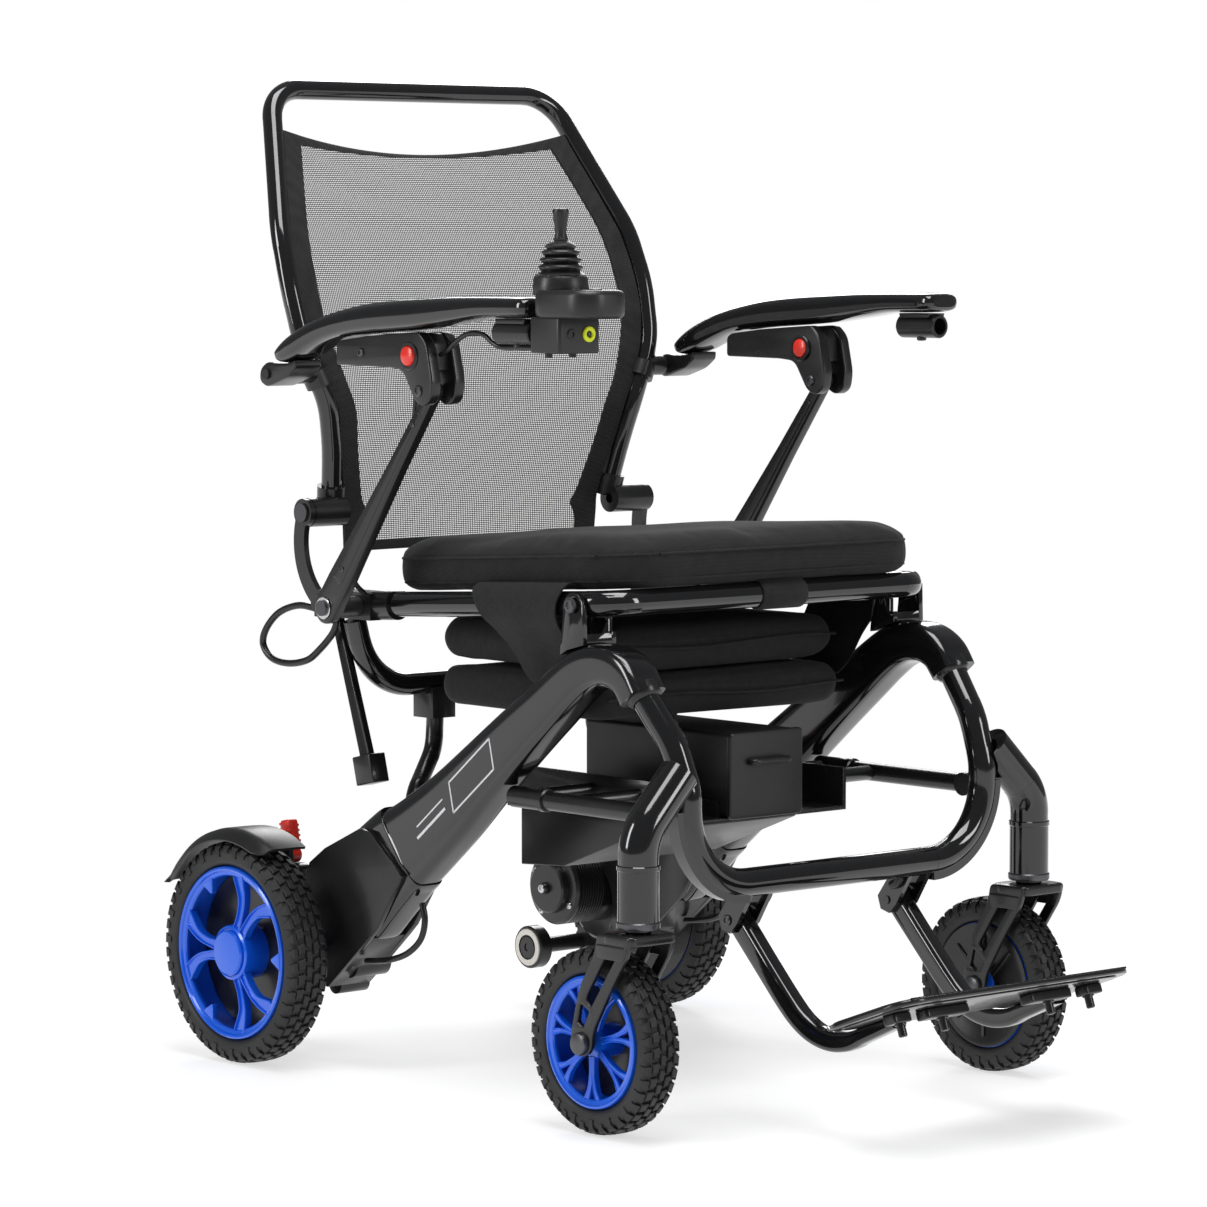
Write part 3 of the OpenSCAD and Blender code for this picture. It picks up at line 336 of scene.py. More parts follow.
def sweep(name, points, radius, sides=20, per=8, closed=False, flat=1.0, rounded=True, smooth=True):
    """Tube along the points; a list of radii gives a taper."""
    c = spline(points, per) if smooth else np.array(points, float)
    rad = np.interp(np.linspace(0, 1, len(c)), np.linspace(0, 1, len(np.atleast_1d(radius))),
                    np.atleast_1d(radius))
    if closed:
        c, rad = c[:-1], rad[:-1]
    t = np.roll(c, -1, 0) - np.roll(c, 1, 0)
    if not closed:
        t[0], t[-1] = c[1] - c[0], c[-1] - c[-2]
    t /= np.linalg.norm(t, axis=1)[:, None]
    up = np.cross(t[0], [0.3, 0.1, 1]) if abs(t[0][2]) < 0.9 else np.cross(t[0], [1, 0, 0])
    rings = []
    for i in range(len(c)):
        up = up - t[i] * np.dot(up, t[i])
        up /= np.linalg.norm(up)
        side = np.cross(t[i], up)
        rings.append([c[i] + rad[i] * (np.cos(a) * up + flat * np.sin(a) * side)
                      for a in np.linspace(0, 2 * math.pi, sides, endpoint=False)])
    if rounded and not closed:
        first = [c[0] + (np.array(v) - c[0]) * 0.6 for v in rings[0]]
        last = [c[-1] + (np.array(v) - c[-1]) * 0.6 for v in rings[-1]]
        rings[0] = [c[0] + (np.array(v) - c[0]) * 0.92 for v in rings[0]]
        rings[-1] = [c[-1] + (np.array(v) - c[-1]) * 0.92 for v in rings[-1]]
        rings = [first] + rings + [last]
    return loft(name, rings, closed)


def lathe(name, profile, centre, axis="x", steps=64, sharp=30):
    """Solid of revolution; the profile is (radius, place along the axis)."""
    rings = []
    for a in np.linspace(0, 2 * math.pi, steps, endpoint=False):
        ring = []
        for r, h in profile:
            point = [r * math.cos(a), r * math.sin(a)]
            point.insert("xyz".index(axis), h)
            ring.append([c + q for c, q in zip(centre, point)])
        rings.append(ring)
    n, m = len(rings), len(profile)
    verts = [tuple(np.array(v) * MM) for r in rings for v in r]
    faces = []
    for i in range(n):
        for j in range(m - 1):
            a, b = i * m + j, i * m + j + 1
            c, d = ((i + 1) % n) * m + j + 1, ((i + 1) % n) * m + j
            faces.append((a, b, c, d))
    obj = solid(name, verts, faces, sharp)
    fix_normals(obj, 1e-6)
    obj.data.set_sharp_from_angle(angle=math.radians(sharp))
    return obj


def fillet(poly, r, steps=5):
    """Rounds the corners of a closed outline."""
    p = [np.array(v, float) for v in poly]
    rr = r if isinstance(r, (list, tuple)) else [r] * len(p)
    out = []
    for i in range(len(p)):
        a, b, c = p[i - 1], p[i], p[(i + 1) % len(p)]
        k = min(rr[i], 0.45 * np.linalg.norm(b - a), 0.45 * np.linalg.norm(c - b))
        s = b + (a - b) / np.linalg.norm(a - b) * k
        e = b + (c - b) / np.linalg.norm(c - b) * k
        for j in range(steps + 1):
            t = j / steps
            out.append(tuple((1 - t) ** 2 * s + 2 * t * (1 - t) * b + t * t * e))
    return out


def disc(cy, cz, r, steps=28):
    return [(cy + r * math.cos(a), cz + r * math.sin(a)) for a in np.linspace(0, 2 * math.pi, steps,
                                                                              endpoint=False)]


def slab(name, loops, x0, x1, edge=0.8, plane="yz"):
    """Flat plate with rounded edges; the first loop is its outline and the rest are holes."""
    cu = bpy.data.curves.new(name, "CURVE")
    cu.dimensions = "2D"
    cu.fill_mode = "BOTH"
    for loop in loops:
        sp = cu.splines.new("POLY")
        sp.points.add(len(loop) - 1)
        for q, v in zip(sp.points, loop):
            q.co = (v[0] * MM, v[1] * MM, 0, 1)
        sp.use_cyclic_u = True
    t = abs(x1 - x0) * MM
    e = min(edge * MM, t * 0.45)
    cu.extrude = t / 2 - e
    cu.bevel_depth = e
    cu.bevel_resolution = 2
    cu.offset = -e
    tmp = bpy.data.objects.new(name + "_curve", cu)
    bpy.context.collection.objects.link(tmp)
    dg = bpy.context.evaluated_depsgraph_get()
    me = bpy.data.meshes.new_from_object(tmp.evaluated_get(dg))
    bpy.data.objects.remove(tmp)
    mid = (x0 + x1) / 2 * MM
    if plane == "yz":
        mat = Matrix(((0, 0, 1, mid), (1, 0, 0, 0), (0, 1, 0, 0), (0, 0, 0, 1)))
    else:
        mat = Matrix(((1, 0, 0, 0), (0, 1, 0, 0), (0, 0, 1, mid), (0, 0, 0, 1)))
    me.transform(mat)
    obj = bpy.data.objects.new(name, me)
    bpy.context.collection.objects.link(obj)
    fix_normals(obj, 2e-6)
    me.shade_smooth()
    me.set_sharp_from_angle(angle=math.radians(40))
    return obj


def superband(name, line, x, w, power=0.45, sides=40, per=6, wide=None):
    """Band of rounded rectangular section in a plane of constant x; stations are (y, z, depth)."""
    c = spline(line, per)
    widths = np.full(len(c), float(w)) if wide is None else np.interp(
        np.linspace(0, 1, len(c)), np.linspace(0, 1, len(wide)), wide)
    rings = []
    for i in range(len(c)):
        a, b = c[max(i - 1, 0)], c[min(i + 1, len(c) - 1)]
        t = np.array([b[0] - a[0], b[1] - a[1]])
        t /= np.linalg.norm(t)
        ring = []
        for k in range(sides):
            g = 2 * math.pi * (k + 0.5) / sides
            cs, sn = math.cos(g), math.sin(g)
            u = widths[i] / 2 * math.copysign(abs(cs) ** power, cs)
            v = c[i][2] / 2 * math.copysign(abs(sn) ** power, sn)
            ring.append((x + u, c[i][0] - t[1] * v, c[i][1] + t[0] * v))
        rings.append(np.array(ring))
    for end in (0, -1):
        mid = rings[end].mean(axis=0)
        inner = [mid + (v - mid) * 0.9 for v in rings[end]]
        rings = [inner] + rings if end == 0 else rings + [inner]
    return loft(name, rings)


def mirrored(obj, name):
    other = obj.copy()
    other.data = obj.data.copy()
    other.name = name
    other.data.name = name
    other.data.transform(Matrix.Scale(-1, 4, (1, 0, 0)))
    other.data.flip_normals()
    bpy.context.collection.objects.link(other)
    return other


def pair(obj, base, bodies, mat, *nodes):
    """obj is drawn on the +X side; it's placed there, and its mirror image on the -X side."""
    if isinstance(bodies, str):
        bodies = (bodies, bodies)
    right = mirrored(obj, base + "_right")
    obj.name = base + "_left"
    place(obj, bodies[1], mat, *[n + "_left" for n in nodes])
    place(right, bodies[0], mat, *[n + "_right" for n in nodes])
    return right, obj


def screw(name, x, y, z, r, out=1, h=2.2):
    """Round-headed screw with a hex socket, its axis along X."""
    prof = [(0, h * 0.45), (r * 0.42, h * 0.45), (r * 0.5, h), (r * 0.82, h * 0.92), (r, h * 0.45), (r, 0),
            (0, 0)]
    return lathe(name, [(a, out * b) for a, b in prof], (x, y, z), "x", 24)


# ---------------------------------------------------------------- measurements shared with the frame
ARCH = [[231, 170, 98], [190, 204, 92], [148, 231, 80], [100, 264, 70], [50, 303, 60], [0, 341, 53],
        [-40, 370, 47], [-68, 391, 44], [-90, 405, 42], [-112, 412, 39], [-134, 411, 36], [-151.5, 402.5, 33],
        [-164, 386.9, 31]]
ARM = [[-92, 734, 9], [-88, 734, 16], [-76, 734, 19], [-30, 733.5, 20], [10, 731, 24], [60, 727, 28],
       [100, 724.5, 29], [140, 721.5, 28], [175, 717, 26], [205, 711, 25], [230, 703, 25], [252, 694, 24],
       [266, 688, 20], [274, 685, 14], [277, 683.5, 6]]
REAR = dict(x=263, y=340, z=108, r=108, w=42, rim=84)
CAST = dict(x=248, y=-170, z=84, r=84, w=38, rim=60)
SIDES = ("right", "left")


def both(stem):
    return [s + "_" + stem for s in SIDES]


# ---------------------------------------------------------------- main frame
def side_arches():
    arch = superband("arch", ARCH, 197, 40, per=8)
    pair(arch, "arch_shell", "chassis", "carbon", "side_arch")
    # Flared sleeve bonded round the lower end
    sleeve = superband("sleeve", [[234, 167.6, 99], [228, 172.5, 100.4], [205, 192, 97.4], [180, 211.5, 92.6],
                                  [168, 219.5, 90], [165, 221.7, 88]], 197, 42, power=0.42,
                       wide=[41, 42, 42, 42, 42, 40])
    pair(sleeve, "arch_sleeve", "chassis", "gloss")
    # Bonded collar between the arch and the front loop
    d = np.array([-12.5, -15.6]) / 20
    prof = [(15.2, -1), (17, 0), (17.2, 5), (16.4, 10), (13.9, 13.5), (13.2, 14)]
    obj = lathe("joint_collar", prof, (0, 0, 0), "z", 40)
    turn = Vector((0, d[0], d[1])).normalized().to_track_quat("Z", "X").to_matrix().to_4x4()
    obj.data.transform(Matrix.Translation((0.1955, -0.1585, 0.3938)) @ turn)
    pair(obj, "joint_collar", "chassis", "satin")


def arch_stripes():
    """A plain outlined parallelogram and two pinstripes on the outer side of each arch."""
    d = np.array([-0.787, 0.617])
    n = np.array([0.617, 0.787])
    base = np.array([52, 300.0])
    bits = []

    def strip(a, b, w, k):
        a, b = np.array(a, float), np.array(b, float)
        t = (b - a) / np.linalg.norm(b - a)
        q = np.array([-t[1], t[0]]) * w / 2
        pts = [a - q, b - q, b + q, a + q]
        bits.append(loft("stripe_%d" % k, [[(x, *p) for p in pts] for x in (216.2, 217.25)]))

    def at(u, v):
        return base + d * u + n * v
    box = [at(-44, -13), at(30, -13), at(42, 13), at(-32, 13)]
    for k in range(4):
        strip(box[k], box[(k + 1) % 4], 1.6, k)
    strip(at(-104, -3), at(-52, -3), 2.6, 5)
    strip(at(-98, 6), at(-50, 6), 1.4, 6)
    marks = join("arch_stripe", bits)
    pair(marks, "arch_stripe", "chassis", "pin")


def frame_details():
    """Collars, seams and screws on the welded and bolted frame."""
    seam = lathe("branch_seam", [(18.4, -2.6), (19.3, -1.8), (19.3, 1.8), (18.4, 2.6)], (248, -215, 243), "z",
                 48)
    pair(seam, "branch_seam", "chassis", "gloss")
    foot = lathe("stem_collar", [(9, -2.4), (18.9, -2.4), (19.6, -1), (19.6, 3), (18.6, 4.2)],
                 (248, -215, 191.6), "z", 48)
    pair(foot, "stem_collar", "chassis", "dark_steel")
    brace = lathe("brace_ring", [(9.0, -4), (10.9, -3.4), (10.9, 3.4), (9.0, 4)], (195, -28, 282), "y", 40)
    pair(brace, "brace_ring", "chassis", "satin")
    for k, (x, y, z, r) in enumerate(((206, -187.7, 282, 6), (219.8, -90, 466, 6.2), (216.8, 190, 196, 4.5),
                                      (216.8, 214, 178, 4.5), (115.8, -187, 181, 5))):
        b = screw("bolt_%d" % k, x, y, z, r)
        pair(b, "frame_bolt_%d" % k, "chassis", "dark_steel" if k else "satin")


# ---------------------------------------------------------------- wheels
def tread_blocks(name, g, pitches, rows):
    """Chunky blocks round the tyre.

    Each row is (place across, half width, half length in pitches, phase, height, lean).
    """
    verts, faces = [], []
    for i in range(pitches):
        for across, half, length, phase, high, lean in rows:
            mid = 2 * math.pi * (i + phase) / pitches
            da = 2 * math.pi * length / pitches
            b = len(verts)
            for level, shrink in ((-3.0, 1.0), (high - 0.7, 0.97), (high, 0.8)):
                for sa, sx in ((-1, -1), (1, -1), (1, 1), (-1, 1)):
                    x = across + sx * half * shrink
                    t = abs(x) / (g["w"] / 2)
                    drop = 1.2 * t ** 2 + 9.0 * max(t - 0.62, 0) ** 1.5 * 2
                    r = g["r"] - 2.4 + level - drop
                    a = mid + (sa * da + lean * sx * 0.25 * da) * shrink
                    verts.append(((g["x"] + x) * MM, (g["y"] + r * math.cos(a)) * MM,
                                  (g["z"] + r * math.sin(a)) * MM))
            for lv in (0, 4):
                for q in range(4):
                    faces.append((b + lv + q, b + lv + (q + 1) % 4, b + lv + 4 + (q + 1) % 4, b + lv + 4 + q))
            faces.append((b + 8, b + 9, b + 10, b + 11))
    o = solid(name, verts, faces, 25)
    fix_normals(o)
    return o


def tyre(name, g, pitches):
    h = g["w"] / 2
    r, rim = g["r"], g["rim"]
    prof = [(rim + 0.4, -h + 4.5), (rim + 3, -h + 1.6), (rim + 7, -h + 0.4), (rim + 10, -h + 0.8),
            (r - 12, -h + 0.3),
            (r - 8, -h + 1.2), (r - 4.5, -h + 5.5), (r - 3.2, -h + 12), (r - 2.8, 0), (r - 3.2, h - 12),
            (r - 4.5, h - 5.5), (r - 8, h - 1.2), (r - 12, h - 0.3), (rim + 10, h - 0.8), (rim + 7, h - 0.4),
            (rim + 3, h - 1.6), (rim + 0.4, h - 4.5), (rim + 0.4, -h + 4.5)]
    body = lathe(name, prof, (g["x"], g["y"], g["z"]), "x", 96, 60)
    w = h - 1
    rows = [(-0.21 * w, 0.16 * w, 0.36, 0.0, 2.3, 0.5), (0.21 * w, 0.16 * w, 0.36, 0.5, 2.3, -0.5),
            (-0.62 * w, 0.17 * w, 0.33, 0.5, 2.3, -0.6), (0.62 * w, 0.17 * w, 0.33, 0.0, 2.3, 0.6)]
    blocks = tread_blocks(name + "_blocks", g, pitches, rows)
    # Shoulder lugs that run down the sidewall
    verts, faces = [], []
    for i in range(pitches):
        for side in (-1, 1):
            mid = 2 * math.pi * (i + (0.25 if side > 0 else 0.75)) / pitches
            long_one = i % 2 == 0
            low = r - (15 if long_one else 11.5)
            ring = [(r - 2.6, 0.80 * h), (r - 4.2, 0.93 * h), (r - 8, h + 0.3), (low, h + 0.5),
                    (low, h - 2.5),
                    (r - 7, 0.72 * h)]
            b = len(verts)
            for sa in (-1, 1):
                for rr, xx in ring:
                    da = 2 * math.pi * (0.34 if rr > r - 7.5 else 0.22) / pitches
                    a = mid + sa * da
                    verts.append(((g["x"] + side * xx) * MM, (g["y"] + rr * math.cos(a)) * MM,
                                  (g["z"] + rr * math.sin(a)) * MM))
            m = len(ring)
            for q in range(m):
                faces.append((b + q, b + (q + 1) % m, b + m + (q + 1) % m, b + m + q))
            faces.append(tuple(b + q for q in range(m)))
            faces.append(tuple(b + m + q for q in range(m - 1, -1, -1)))
    lugs = solid(name + "_lugs", verts, faces, 25)
    fix_normals(lugs)
    return join(name, [body, blocks, lugs])


def channel_spoke(name, g, points, widths, x_face, depth, lip=1.5, groove=2.2):
    """Curved spoke with a sunk channel along its face; points are (angle, radius)."""
    c = spline([(r * math.cos(math.radians(a)), r * math.sin(math.radians(a))) for a, r in points], 6)
    ws = np.interp(np.linspace(0, 1, len(c)), np.linspace(0, 1, len(widths)), widths)
    rings = []
    for i in range(len(c)):
        t = c[min(i + 1, len(c) - 1)] - c[max(i - 1, 0)]
        t /= np.linalg.norm(t)
        n = np.array([-t[1], t[0]])
        w = ws[i] / 2
        sec = [(-w, -depth), (-w, -0.9), (-w + 0.8, 0), (-w + lip, 0), (-w + lip + 0.8, -groove),
               (w - lip - 0.8, -groove),
               (w - lip, 0), (w - 0.8, 0), (w, -0.9), (w, -depth)]
        rings.append([(x_face + s[1], g["y"] + c[i][0] + n[0] * s[0],
                       g["z"] + c[i][1] + n[1] * s[0]) for s in sec])
    return loft(name, rings, sharp=40)


def around(degrees):
    """Directions out from the axle and round it, as (y, z)."""
    a = math.radians(degrees)
    return np.array([math.cos(a), math.sin(a)]), np.array([-math.sin(a), math.cos(a)])


def rear_rims():
    g = REAR
    bits = []
    h = g["w"] / 2
    prof = [(79, -h + 5), (83.9, -h + 5), (83.9, h - 4), (83.2, h - 1.8), (81.5, h - 0.9), (79.6, h - 1.6),
            (78.6, h - 3.4),
            (75.6, h - 4.0), (74.4, h - 5.5), (74.8, h - 9), (78.5, h - 12), (79, -h + 5)]
    bits.append(lathe("barrel", prof, (g["x"], g["y"], g["z"]), "x", 96))
    hub = [(8.1, -14), (22, -14), (27, -10), (27, 15.6), (26, 18.4), (23.6, 19.6), (23.2, 18.4), (22.4, 18.4),
           (22.0, 21.4),
           (20.3, 22.9), (11, 23.9), (0, 24.2)]
    bits.append(lathe("hub", hub, (g["x"], g["y"], g["z"]), "x", 64))
    face = g["x"] + h - 3
    for k in range(3):
        mid = 120 * k
        for s in (-1, 1):
            bits.append(channel_spoke("spoke", g, [(mid + s * 13, 21), (mid + s * 10, 38), (mid + s * 13, 57),
                                                   (mid + s * 21.5, 77)], [11, 9, 10, 16], face, 8))
        # Small pointed lug between the pairs
        u, v = around(mid + 60)
        tri = [u * 76 + v * 9, u * 76 - v * 9, u * 63 - v * 1.2, u * 63 + v * 1.2]
        bits.append(slab("lug", [[(g["y"] + p[0], g["z"] + p[1]) for p in tri]], face - 7, face - 0.4, 0.8))
    rim = join("rear_rim", bits)
    pair(rim, "rear_wheel_rim", both("rear_wheel"), "blue", "rear_rim")
    # Black back disc inside the rim
    back = lathe("back", [(26, -8), (72, -10), (77.6, -9.6), (78.4, -13), (83.6, -15.4), (83.6, -17.4),
                          (78, -17.2), (26, -15), (26, -8)],
                 (g["x"], g["y"], g["z"]), "x", 64)
    pair(back, "rear_wheel_back", both("rear_wheel"), "satin")


def caster_rims():
    g = CAST
    h = g["w"] / 2
    bits = [lathe("barrel", [(55, -h + 4), (59.9, -h + 4), (59.9, h - 3), (59.2, h - 1.2), (57.2, h - 0.6),
                             (55.6, h - 2),
                             (52.4, h - 2.6), (51.2, h - 4), (51.4, h - 7), (55, h - 9), (55, -h + 4)],
                  (g["x"], g["y"], g["z"]), "x", 80)]
    bits.append(lathe("hub", [(5.1, -15), (13, -15), (15, -12), (15, 12), (14, 14.5), (5.1, 15)],
                      (g["x"], g["y"], g["z"]), "x", 48))
    face = g["x"] + h - 2.6
    for k in range(7):
        a = 360 * k / 7 + 12
        for s in (-1, 1):
            bits.append(channel_spoke("spoke", g, [(a + s * 4, 13), (a + s * 2.5, 28), (a + s * 5, 42),
                                                   (a + s * 9, 54)],
                                      [5.2, 4.4, 4.6, 7], face, 6, lip=1.0, groove=0.8))
    rim = join("caster_rim", bits)
    pair(rim, "caster_wheel_rim", both("caster_wheel"), "blue", "caster_rim")
    # Black inner face with eight shallow ribs
    web = [lathe("inner", [(14, -11.4), (50, -11.4), (54.6, -14), (59.4, -15.6), (59.4, -16.8), (54, -16.6),
                           (48, -13.6), (14, -13.6), (14, -11.4)],
                 (g["x"], g["y"], g["z"]), "x", 64)]
    for k in range(8):
        u, v = around(45 * k)
        rib = [u * 15 + v * 2.4, u * 50 + v * 1.6, u * 50 - v * 1.6, u * 15 - v * 2.4]
        web.append(slab("inner_rib", [[(g["y"] + p[0], g["z"] + p[1]) for p in rib]], g["x"] - 15.4,
                        g["x"] - 13, 0.5))
    pair(join("inner_face", web), "caster_inner_face", both("caster_wheel"), "satin")


def wheels():
    t = tyre("rear_tread", REAR, 46)
    pair(t, "rear_tread", both("rear_wheel"), "tyre", "rear_tyre")
    t = tyre("caster_tread", CAST, 38)
    pair(t, "caster_tread", both("caster_wheel"), "tyre", "caster_tyre")
    rear_rims()
    caster_rims()


def caster_forks():
    """Two slotted legs under a crown, with the axle's nuts."""
    x, y, ay, az = 248, -215, -170, 84
    bits = []
    out = fillet([(y - 20, 185), (y + 24, 185), (y + 27, 168), (ay + 4, 132), (ay + 14, 92), (ay + 13, 78),
                  (ay, 70.5),
                  (ay - 13, 78), (ay - 15, 96), (y + 6, 136), (y - 16, 168)],
                 [5, 6, 10, 14, 10, 10, 12, 10, 12, 16, 8])
    slot_long = fillet([(y - 5, 171), (y + 9, 171), (ay - 6, 126), (ay - 13, 118)], 4)
    slot_low = fillet([(ay - 11, 114), (ay + 1, 120), (ay + 5, 103), (ay - 3, 99)], 2.5)
    hole = disc(ay, az, 5.4)
    for k in (-1, 1):
        mid = x + k * 25.5
        bits.append(slab("leg", [out, slot_long, slot_low, hole], mid - 2.6, mid + 2.6, 1.3))
        bits.append(slab("rib", [fillet([(y - 17, 176), (y + 25, 176), (y + 22, 163), (y - 12, 163)], 4)],
                         mid + k * 1.8 - 1.6, mid + k * 1.8 + 1.6, 0.9))
    crown = slab("crown", [fillet([(x - 28, y - 21), (x + 28, y - 21), (x + 29, y + 14), (x + 22, y + 25),
                                   (x - 22, y + 25),
                                   (x - 29, y + 14)], 8)], 176, 185.4, 2.2, plane="xy")
    bits.append(crown)
    bits.append(lathe("race", [(6, 9), (11.3, 9), (12.6, 11), (12.6, 12.4), (6, 12.6)], (x, y, 176), "z", 40))
    fork = join("fork", bits)
    pair(fork, "fork_legs", both("fork"), "satin", "caster_fork")
    caps = []
    for k in (-1, 1):
        caps.append(lathe("cap", [(0, k * 33.4), (7, k * 33.4), (9.6, k * 32.4), (10.3, k * 30.6),
                                  (10.3, k * 28.2), (4.9, k * 28.1)],
                          (x, ay, az), "x", 36))
    caps.append(lathe("axle", [(4.9, -29), (4.9, 29)], (x, ay, az), "x", 24))
    stem = lathe("stem", [(5.9, 0), (5.9, 42), (5.0, 43)], (x, y, 185), "z", 24)
    caps.append(stem)
    cap = join("axle_caps", caps)
    pair(cap, "axle_caps", both("fork"), "dark_steel")


# ---------------------------------------------------------------- drive
def drive_details():
    """Gear motor with ribs and cover screws, the freewheel lever and the anti-tip roller."""
    y, z = 345, 134
    prof = [(0, 118), (5, 118), (6, 120), (6, 123), (24, 123.4), (26, 125), (26.4, 132), (36, 133),
            (38.6, 136)]
    for k in range(9):
        h = 139 + k * 3.4
        prof += [(38.6, h), (37.0, h + 0.8), (37.0, h + 1.6), (38.6, h + 2.4)]
    prof += [(38.6, 176), (39, 178), (39, 190), (36, 192.5), (0, 192.5)]
    can = lathe("can", prof, (0, y, z), "x", 72)
    gear = lathe("gear", [(0, 190.5), (40, 190.5), (43.4, 193), (44, 196), (44, 224), (42, 228), (36, 230),
                          (0, 230.5)],
                 (0, 340, 118), "x", 72)
    shaft = lathe("shaft", [(7.9, 229), (7.9, 275)], (0, 340, 108), "x", 24)
    seat = slab("lever_seat",
                [fillet([(y - 14, 164), (y + 14, 164), (y + 14, 185), (y + 9, 188), (y - 9, 188),
                         (y - 14, 185)], 3)],
                190, 212, 1.5)
    body = join("gear_motor", [can, gear, shaft, seat])
    pair(body, "gear_motor", "chassis", "satin", "motor")
    bolts = [screw("tie", 124.2, y + 31 * math.cos(a), z + 31 * math.sin(a), 3.4,
                   out=-1) for a in (0.5, 2.1, 3.7, 5.3)]
    for b in bolts:
        b.data.transform(Matrix.Translation((0.0088, 0, 0)))
    bolts.append(screw("end_bolt", 118.2, y, z, 4.6, out=-1))
    pair(join("motor_bolts", bolts), "motor_bolts", "chassis", "steel")
    lever = []
    lz = z + 62
    lever.append(lathe("pivot", [(2, 195), (6.8, 195), (7.5, 196), (7.5, 206), (6.8, 207), (2, 207)],
                       (0, y, lz), "x", 32))
    grip = slab("grip", [fillet([(y - 7, lz), (y + 7, lz), (y + 14, lz + 30), (y + 12, lz + 33),
                                 (y + 1, lz + 35), (y - 1, lz + 33)], 2.5)],
                195, 207, 2.0)
    lever.append(grip)
    for k in range(5):
        q = 8 + 5 * k
        lever.append(slab("rib", [fillet([(y - 7.8 + q * 0.21, lz + q), (y + 7.6 + q * 0.21, lz + q),
                                          (y + 8.1 + q * 0.21, lz + q + 2.4),
                                          (y - 7.3 + q * 0.21, lz + q + 2.4)], 0.7)], 194.4, 207.6, 0.6))
    pair(join("lever", lever), "freewheel_grip", both("lever"), "red", "freewheel_lever")
    rol = lathe("roller", [(4.1, -9), (11, -9), (12, -8), (20.5, -8), (22, -6.4), (22, 6.4), (20.5, 8),
                           (12, 8), (11, 9), (4.1, 9)],
                (152, 398, 65), "x", 56)
    pair(rol, "roller_tread", both("roller"), "satin", "anti_tip_roller")
    ring = lathe("roller_ring", [(13, -8.9), (18.4, -9.1), (19, -8.3), (19, 8.3), (18.4, 9.1), (13, 8.9)],
                 (152, 398, 65), "x", 56)
    pair(ring, "roller_ring", both("roller"), "white")


def fenders():
    """Curved guard over each rear wheel, with a rolled outer lip."""
    g = REAR
    rings = []
    for k in range(41):
        a = math.radians(31 + 88 * k / 40)
        rr = 118.2
        taper = min(1.0, 0.35 + min(k, 40 - k) / 5)
        sec = [(rr - 1.2, -29), (rr + 1.6, -29), (rr + 2.2, -20), (rr + 2.4, 8), (rr + 1.2, 15),
               (rr - 3, 20.5), (rr - 8 * taper, 25),
               (rr - 9.2 * taper, 24.6), (rr - 4.4, 19), (rr - 1.4, 13), (rr - 0.6, 8), (rr - 0.6, -20)]
        rings.append([(g["x"] + h, g["y"] + r * math.cos(a), g["z"] + r * math.sin(a)) for r, h in sec])
    guard = loft("guard", rings, sharp=50)
    stay = slab("stay", [fillet([(326, 162.2), (354, 162.2), (350, 212), (330, 212)], 3)], 212, 218, 1)
    top = slab("stay_top", [fillet([(212, 328), (234, 328), (234, 352), (212, 352)], 3)], 207.5, 211.8, 1,
               plane="xy")
    post = slab("post", [fillet([(329, 207), (351, 207), (350, 227), (330, 227)], 2)], 230.2, 234.2, 1)
    pair(join("fender", [guard, stay, top, post]), "fender_guard", "chassis", "plastic")
    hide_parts("fenders")


# ---------------------------------------------------------------- seat
TILT = math.radians(3.3)
SEAT_Y, SEAT_Z = -90, 466


def seat_point(x, y, z):
    """From the seat's own tilted axes to the chair's."""
    c, s = math.cos(TILT), math.sin(TILT)
    return (x, SEAT_Y + y * c + z * s, SEAT_Z - y * s + z * c)


def outline(w, d, r, steps=10):
    pts = []
    i, j = w / 2 - r, d / 2 - r
    for cx, cy, a0 in ((i, j, 0), (-i, j, 90), (-i, -j, 180), (i, -j, 270)):
        for k in range(steps + 1):
            a = math.radians(a0 + 90 * k / steps)
            pts.append((cx + r * math.cos(a), cy + r * math.sin(a)))
    return pts


def puff(obj, voxel, pressure, cap):
    """Inflates a closed shape as cloth, then limits how far any point moved."""
    bpy.context.view_layer.objects.active = obj
    rm = obj.modifiers.new("remesh", "REMESH")
    rm.mode = "VOXEL"
    rm.voxel_size = voxel
    bake(obj, 0)
    start = np.array([v.co[:] for v in obj.data.vertices])
    cl = obj.modifiers.new("cloth", "CLOTH")
    st = cl.settings
    st.quality = 5
    st.use_pressure = True
    st.uniform_pressure_force = pressure
    st.effector_weights.gravity = 0
    st.tension_stiffness = 12
    st.bending_stiffness = 0.6
    cl.point_cache.frame_start = 1
    cl.point_cache.frame_end = 20
    for f in range(1, 21):
        scene.frame_set(f)
    dg = bpy.context.evaluated_depsgraph_get()
    ev = np.array([v.co[:] for v in obj.evaluated_get(dg).data.vertices])
    obj.modifiers.clear()
    move = ev - start
    d = np.linalg.norm(move, axis=1)[:, None]
    move *= np.minimum(1, cap / np.maximum(d, 1e-9))
    for v, co in zip(obj.data.vertices, start + move):
        v.co = co
    scene.frame_set(1)
    sub = obj.modifiers.new("sub", "SUBSURF")
    sub.levels = 1
    bake(obj, 180)
    return obj


